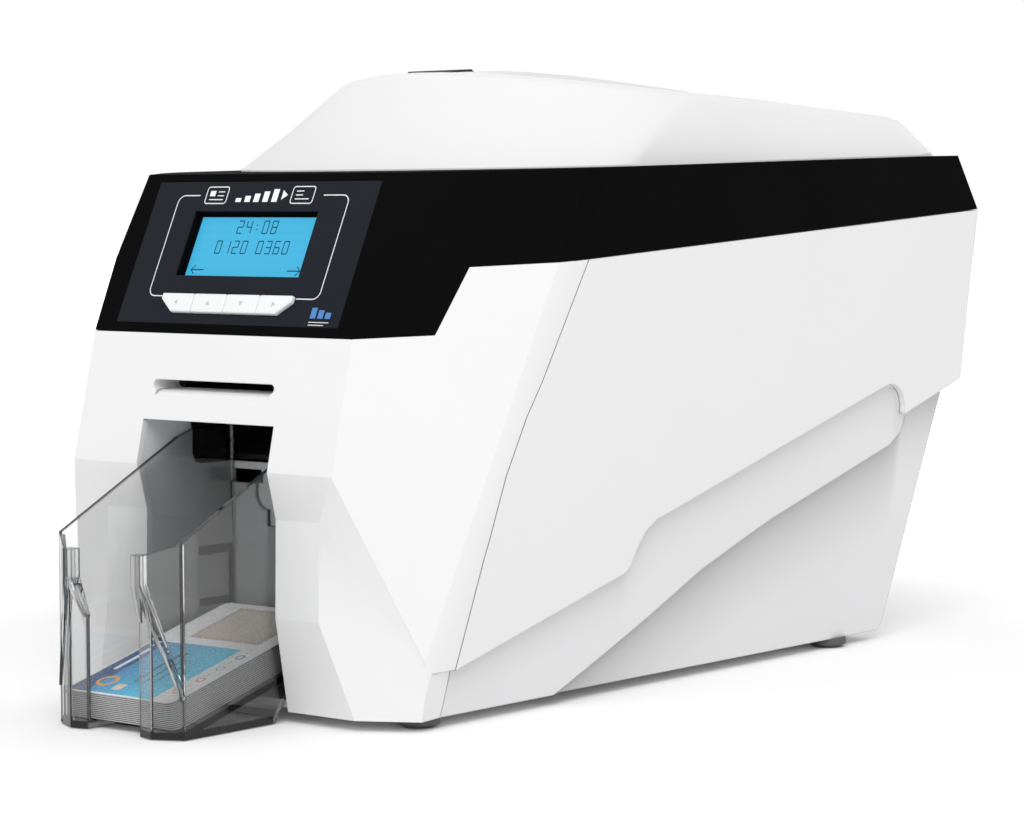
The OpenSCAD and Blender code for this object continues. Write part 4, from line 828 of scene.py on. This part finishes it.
# ---- Printed cards -----------------------------------------------------------
# Fourteen finished cards of white PVC lie on the ramp. The top one shows a blue
# panel that fades to cyan, plain rules and dots, and a bare beige field.
card_slope = math.radians(15.6)
card_pitch, card_gap, card_count = 0.00076, 0.00008, 14
card_white = (0.82, 0.825, 0.83)
card_gloss, card_roughest = 0.24, 0.30
card_rim = 0.0001
blank_rim = 0.0002
gap_share, gap_painted_shade = 0.36, (0.07, 0.07, 0.075)
face_under, face_over = 0.00002, 0.001
fade_from, fade_way = 0.027, 0.042
field_deep, field_cyan, field_pale = (0.008, 0.14, 0.42), (0.07, 0.58, 0.80), (0.45, 0.68, 0.90)
pale_way, pale_share = 0.07, 0.25
rings_x, rings_y, rings_pitch = 0.0213, 0.010, 0.0105
ring_outer, ring_inner = 0.0019, 0.0012
ring_inks = [(0.75, 0.45, 0.18), (0.70, 0.18, 0.20), (0.20, 0.50, 0.60), (0.12, 0.20, 0.42)]
rule_ink = (0.55, 0.55, 0.56)
stack_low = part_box("printed_cards")[0]
stack_top = card_count * card_pitch - card_gap
# the front lower edge of the stack lies at the box's front, a sine of the height behind
stack_foot = Vector((0, stack_low.y + stack_top * math.sin(card_slope), stack_low.z))


def card_stock(name, foot, slope, top):
    """White card plastic whose top face carries a generic print; across, along and up start at the foot."""
    material, nodes, links, shader = bare_material(name)
    shader.inputs["Specular IOR Level"].default_value = 0.5
    shift = -(Matrix.Rotation(-slope, 3, "X") @ foot)
    across, along, up = own_axes(nodes, links, (-slope, 0, 0), shift)

    def within(value, low, high):
        """1 where the value lies between the two."""
        step = nodes.new("ShaderNodeMath")
        step.operation = "COMPARE"
        links.new(value, step.inputs[0])
        step.inputs[1].default_value = (low + high) / 2
        step.inputs[2].default_value = (high - low) / 2
        return step.outputs[0]

    def field(x0, x1, y0, y1):
        """1 inside a rectangle of the card."""
        return chain(nodes, links, "MULTIPLY", within(across, x0, x1), within(along, y0, y1))

    def ring(x, y, r, inner):
        """1 between two circles about one point of the card."""
        squares = []
        for axis, middle in ((across, x), (along, y)):
            away = chain(nodes, links, "SUBTRACT", axis, middle)
            squares.append(chain(nodes, links, "MULTIPLY", away, away))
        return within(chain(nodes, links, "ADD", *squares), inner * inner, r * r)

    skin = placed_group(nodes, mould_skin, Grain_Size=0.0009)
    printed = two_tones(nodes, links, skin.outputs["Cloud"], shaded(card_white, 0.97), card_white)
    fade = chain(nodes, links, "MULTIPLY", chain(nodes, links, "ADD", across, fade_from), 1 / fade_way)
    fade = chain(nodes, links, "MINIMUM", fade, 1.0)
    blue = two_tones(nodes, links, fade, field_deep, field_cyan)
    paler = chain(nodes, links, "MULTIPLY", along, 1 / pale_way)
    paler = chain(nodes, links, "MULTIPLY", paler, pale_share)
    blue = two_tones(nodes, links, paler, blue, field_pale)
    print_on = [(field(-0.026, 0.0165, 0.001, 0.0475), blue),
                (field(-0.0262, -0.0175, 0.001, 0.0475), (0.006, 0.07, 0.22)),
                (field(-0.0225, -0.0205, 0.020, 0.044), (0.72, 0.78, 0.84)),
                (field(-0.004, -0.0025, 0.012, 0.040), (0.05, 0.16, 0.24)),
                (field(0.001, 0.0022, 0.012, 0.034), (0.07, 0.22, 0.30)),
                (field(0.0055, 0.0065, 0.012, 0.028), (0.07, 0.22, 0.30)),
                (ring(-0.0155, 0.0105, 0.0044, 0.003), (0.80, 0.34, 0.05)),
                (field(-0.0082, -0.0038, 0.0045, 0.0095), (0.66, 0.60, 0.48)),
                (field(-0.016, 0.020, 0.053, 0.082), (0.50, 0.44, 0.38)),
                (field(-0.0135, 0.0175, 0.0555, 0.0795), (0.58, 0.52, 0.46))]
    for place, ink in enumerate(ring_inks):
        y = rings_y + rings_pitch * place
        print_on.append((ring(rings_x, y, ring_outer, ring_inner), ink))
        print_on.append((field(rings_x - 0.0007, rings_x - 0.0001, y + 0.0028, y + 0.0068), rule_ink))
    for mask, ink in print_on:
        printed = two_tones(nodes, links, mask, printed, ink)
    # the stack's sides are painted grey as shade, with black lines of painted shade in the gaps between
    # cards
    layer = chain(nodes, links, "FRACT", chain(nodes, links, "MULTIPLY", up, 1 / card_pitch))
    edges = two_tones(nodes, links, within(layer, 0.0, gap_share), shaded(card_white, 0.62), gap_painted_shade)
    face = within(up, top - face_under, top + face_over)
    links.new(two_tones(nodes, links, face, edges, printed), shader.inputs["Base Color"])
    rough = ramp(nodes, links, skin.outputs["Grain"], card_gloss, card_roughest)
    links.new(rough, shader.inputs["Roughness"])
    corner = placed_group(nodes, soft_corner, Radius=card_rim)
    skin_bump(nodes, links, shader, skin.outputs["Grain"], 0.000001, corner)
    return material


dress(card_stock("printed_card_stock", stack_foot, card_slope, stack_top), "printed_cards")
dress(moulded("blank_card_stock", card_white, 0.3, radius=blank_rim), "blank_cards")

# ---- Feet and rollers --------------------------------------------------------
# Soft grey-black rubber: the feet are moulded with a chamfered rim, the rollers are
# ground on their steel shafts, and the belt is cast with cords inside.
foot_black, roller_black, roller_blue = (0.12, 0.12, 0.125), (0.03, 0.03, 0.032), (0.06, 0.16, 0.42)
foot_rubber = moulded("foot_rubber", foot_black, 0.75, depth=0.00003, shine=0.3, cloud=0.1)
roller_rubber = moulded("roller_rubber", roller_black, 0.7, grain=0.0004, depth=0.00002, shine=0.3,
                        cloud=0.1)
tacky_blue = moulded("tacky_blue", roller_blue, 0.3, grain=0.001, depth=0.000006, cloud=0.08)
dress(foot_rubber, "feet")
dress(roller_rubber, "platen_roller", "entry_roller", "exit_roller", "entry_pinch_roller",
      "exit_pinch_roller", "pick_roller", "drive_belt")
dress(tacky_blue, "cleaning_roller")

# ---- Metal parts -------------------------------------------------------------
# Zinc-plated sheet for the plates, latch and sockets, ground rods for shafts and tie
# bars, extruded aluminium for the print head and turned brass for the pinion.
crystals_per_metre = 220
gloss_streak = 0.1
crystal_shade, crystal_rough = 0.8, 0.08
metal_corner = 0.0002

drawn_metal, start, end = value_group(
    "drawn_metal", [("Lines", "Vector", (1.0, 1.0, 1.0))],
    [("Streaks", "Float"), ("Crystals", "Float")])
nodes, links = drawn_metal.nodes, drawn_metal.links
drawn = nodes.new("ShaderNodeMapping")
links.new(own_place(nodes), drawn.inputs["Vector"])
links.new(start.outputs["Lines"], drawn.inputs["Scale"])
streaks = nodes.new("ShaderNodeTexNoise")
streaks.inputs["Scale"].default_value = 1.0
streaks.inputs["Detail"].default_value = 3.0
links.new(drawn.outputs[0], streaks.inputs["Vector"])
crystals = nodes.new("ShaderNodeTexVoronoi")
crystals.inputs["Scale"].default_value = crystals_per_metre
links.new(own_place(nodes), crystals.inputs["Vector"])
grey = nodes.new("ShaderNodeRGBToBW")
links.new(crystals.outputs["Color"], grey.inputs[0])
links.new(streaks.outputs[0], end.inputs["Streaks"])
links.new(grey.outputs[0], end.inputs["Crystals"])


def metal(name, colour, gloss, lines, scratch, spangle):
    """Metal drawn along the axis with the fewest lines per metre; spangle is how much crystal it shows."""
    material, nodes, links, shader = bare_material(name)
    shader.inputs["Metallic"].default_value = 1.0
    skin = placed_group(nodes, drawn_metal, Lines=lines)
    share = chain(nodes, links, "MULTIPLY", skin.outputs["Crystals"], spangle)
    body = two_tones(nodes, links, share, colour, shaded(colour, crystal_shade))
    links.new(body, shader.inputs["Base Color"])
    rough = ramp(nodes, links, skin.outputs["Streaks"], gloss - gloss_streak, gloss + gloss_streak)
    rougher = chain(nodes, links, "MULTIPLY", share, crystal_rough)
    links.new(chain(nodes, links, "ADD", rough, rougher), shader.inputs["Roughness"])
    corner = placed_group(nodes, soft_corner, Radius=metal_corner)
    skin_bump(nodes, links, shader, skin.outputs["Streaks"], scratch, corner)
    return material


plated = metal("plated_sheet", (0.62, 0.63, 0.65), 0.38, (60, 900, 900), 0.000003, 0.8)
plated_case = metal("plated_case", (0.60, 0.61, 0.63), 0.42, (900, 60, 900), 0.000003, 1.0)
ground_rod = metal("ground_rod", (0.70, 0.71, 0.73), 0.24, (2500, 60, 60), 0.000002, 0.0)
aluminium = metal("drawn_aluminium", (0.76, 0.77, 0.78), 0.32, (80, 1500, 1500), 0.000003, 0.0)
brass = metal("turned_brass", (0.78, 0.58, 0.28), 0.26, (2500, 80, 80), 0.000002, 0.0)
motor_can = metal("motor_can", (0.18, 0.185, 0.20), 0.4, (1500, 60, 60), 0.000003, 0.0)
dress(plated, "side_plate_left", "side_plate_right", "lid_latch", "usb_socket", "network_socket")
dress(plated_case, "power_supply")
dress(ground_rod, "hinge_rod", "tie_bars", "screws")
dress(aluminium, "print_head")
dress(brass, "motor_pinion")
dress(motor_can, "drive_motor", "card_weight")

# ---- Gears, cores and gate ---------------------------------------------------
# The platen's gear, the cores of both film spools and the exit gate are moulded in
# natural acetal, slightly waxy and off-white, with fine flow marks in the skin.
acetal_white = (0.74, 0.73, 0.69)
acetal = moulded("natural_acetal", acetal_white, 0.35, grain=0.0015, depth=0.00001, radius=0.0002)
dress(acetal, "platen_gear", "supply_core", "takeup_core", "card_gate")

# ---- Print film --------------------------------------------------------------
# The film runs from the full roll under the print head to the take-up roll. Its
# edges show the wound turns; the spent film carries the ghosts of colour panels.
turn_pitch, span_pitch = 0.0037699, 0.1256637
turn_depth = 0.00002
film_gloss, film_roughest = 0.12, 0.3
film_flow, film_cloud = 0.003, 0.02

wound_turns, start, end = value_group(
    "wound_turns", [("Shift", "Vector", (0.0, 0.0, 0.0)), ("Pitch", "Float", turn_pitch)],
    [("Turns", "Float")])
nodes, links = wound_turns.nodes, wound_turns.links
centred = nodes.new("ShaderNodeMapping")
links.new(own_place(nodes), centred.inputs["Vector"])
links.new(start.outputs["Shift"], centred.inputs["Location"])
turns = nodes.new("ShaderNodeTexWave")
turns.wave_type = "RINGS"
turns.rings_direction = "X"
turns.inputs["Distortion"].default_value = 1.0
links.new(chain(nodes, links, "DIVIDE", wave_repeat, start.outputs["Pitch"]), turns.inputs["Scale"])
links.new(centred.outputs[0], turns.inputs["Vector"])
links.new(turns.outputs["Fac"], end.inputs["Turns"])


def wound_film(name, node, first, second, pitch):
    """Glossy thin film wound round the middle of its node, turns showing on the ends."""
    material, nodes, links, shader = bare_material(name)
    low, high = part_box(node)
    middle_y, middle_z = (low.y + high.y) / 2, (low.z + high.z) / 2
    turns = placed_group(nodes, wound_turns, Shift=(0, -middle_y, -middle_z), Pitch=pitch).outputs["Turns"]
    skin = placed_group(nodes, mould_skin, Grain_Size=film_flow, Cloud_Size=film_cloud)
    share = chain(nodes, links, "MULTIPLY", turns, skin.outputs["Cloud"])
    links.new(two_tones(nodes, links, share, first, second), shader.inputs["Base Color"])
    rough = ramp(nodes, links, skin.outputs["Grain"], film_gloss, film_roughest)
    links.new(rough, shader.inputs["Roughness"])
    skin_bump(nodes, links, shader, turns, turn_depth)
    dress(material, node)


wound_film("fresh_film", "supply_film", (0.012, 0.012, 0.02), (0.05, 0.04, 0.07), turn_pitch)
wound_film("spent_film", "takeup_film", (0.16, 0.03, 0.09), (0.30, 0.16, 0.05), turn_pitch)
wound_film("film_span", "film_web", (0.02, 0.015, 0.04), (0.12, 0.03, 0.10), span_pitch)

# ---- Circuit boards ----------------------------------------------------------
# Green solder mask over copper tracks; black chips, sleeved capacitors and brass
# standoffs are told apart by how far they stand off the board.
track_scale, pads_per_metre = 160, 260
track_wide, track_depth = 0.05, 0.00002
pad_size = 0.16
tin, chip_black, standoff_brass = (0.55, 0.56, 0.55), (0.014, 0.014, 0.015), (0.60, 0.45, 0.20)

solder_mask, start, end = value_group(
    "solder_mask", [("Spot", "Vector", (0.0, 0.0, 0.0))],
    [("Colour", "Color"), ("Relief", "Float"), ("From Pad", "Float")])
nodes, links = solder_mask.nodes, solder_mask.links
tracks = nodes.new("ShaderNodeTexBrick")
tracks.inputs["Scale"].default_value = track_scale
tracks.inputs["Mortar Size"].default_value = track_wide
tracks.inputs["Color1"].default_value = (0.012, 0.10, 0.045, 1)
tracks.inputs["Color2"].default_value = (0.016, 0.13, 0.06, 1)
tracks.inputs["Mortar"].default_value = (0.03, 0.22, 0.10, 1)
links.new(start.outputs["Spot"], tracks.inputs["Vector"])
pads = nodes.new("ShaderNodeTexVoronoi")
pads.inputs["Scale"].default_value = pads_per_metre
links.new(start.outputs["Spot"], pads.inputs["Vector"])
pad = chain(nodes, links, "LESS_THAN", pads.outputs["Distance"], pad_size)
links.new(two_tones(nodes, links, pad, tracks.outputs["Color"], tin), end.inputs["Colour"])
links.new(tracks.outputs["Fac"], end.inputs["Relief"])
links.new(pads.outputs["Distance"], end.inputs["From Pad"])


def board(name, turn, side, back, face):
    """Solder mask with tracks, on a board that faces along one axis (side) once it is turned.

    What stands past the face is a black chip, and what stands behind the back is brass.
    """
    material, nodes, links, shader = bare_material(name)
    axes = own_axes(nodes, links, turn)
    height = axes[side]
    spot = nodes.new("ShaderNodeCombineXYZ")
    for place, axis in enumerate(axes[:side] + axes[side + 1:]):
        links.new(axis, spot.inputs[place])
    mask = placed_group(nodes, solder_mask)
    links.new(spot.outputs[0], mask.inputs["Spot"])
    chips = chain(nodes, links, "GREATER_THAN", height, face)
    colour = two_tones(nodes, links, chips, mask.outputs["Colour"], chip_black)
    brass = chain(nodes, links, "LESS_THAN", height, back)
    links.new(two_tones(nodes, links, brass, colour, standoff_brass), shader.inputs["Base Color"])
    links.new(brass, shader.inputs["Metallic"])
    links.new(ramp(nodes, links, mask.outputs["From Pad"], 0.3, 0.5), shader.inputs["Roughness"])
    skin_bump(nodes, links, shader, mask.outputs["Relief"], track_depth)
    return material


main_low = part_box("main_board")[0]
main_back, main_face = main_low.x + 0.0059, main_low.x + 0.00765
dress(board("main_board_mask", (0, 0, 0), 0, main_back, main_face), "main_board")
film_level = (Matrix.Rotation(-panel_lean, 3, "X") @ ((film_low + film_high) / 2)).z
panel_back, panel_face = film_level - 0.0125, film_level - 0.0107
dress(board("panel_board_mask", (-panel_lean, 0, 0), 2, panel_back, panel_face), "control_board")
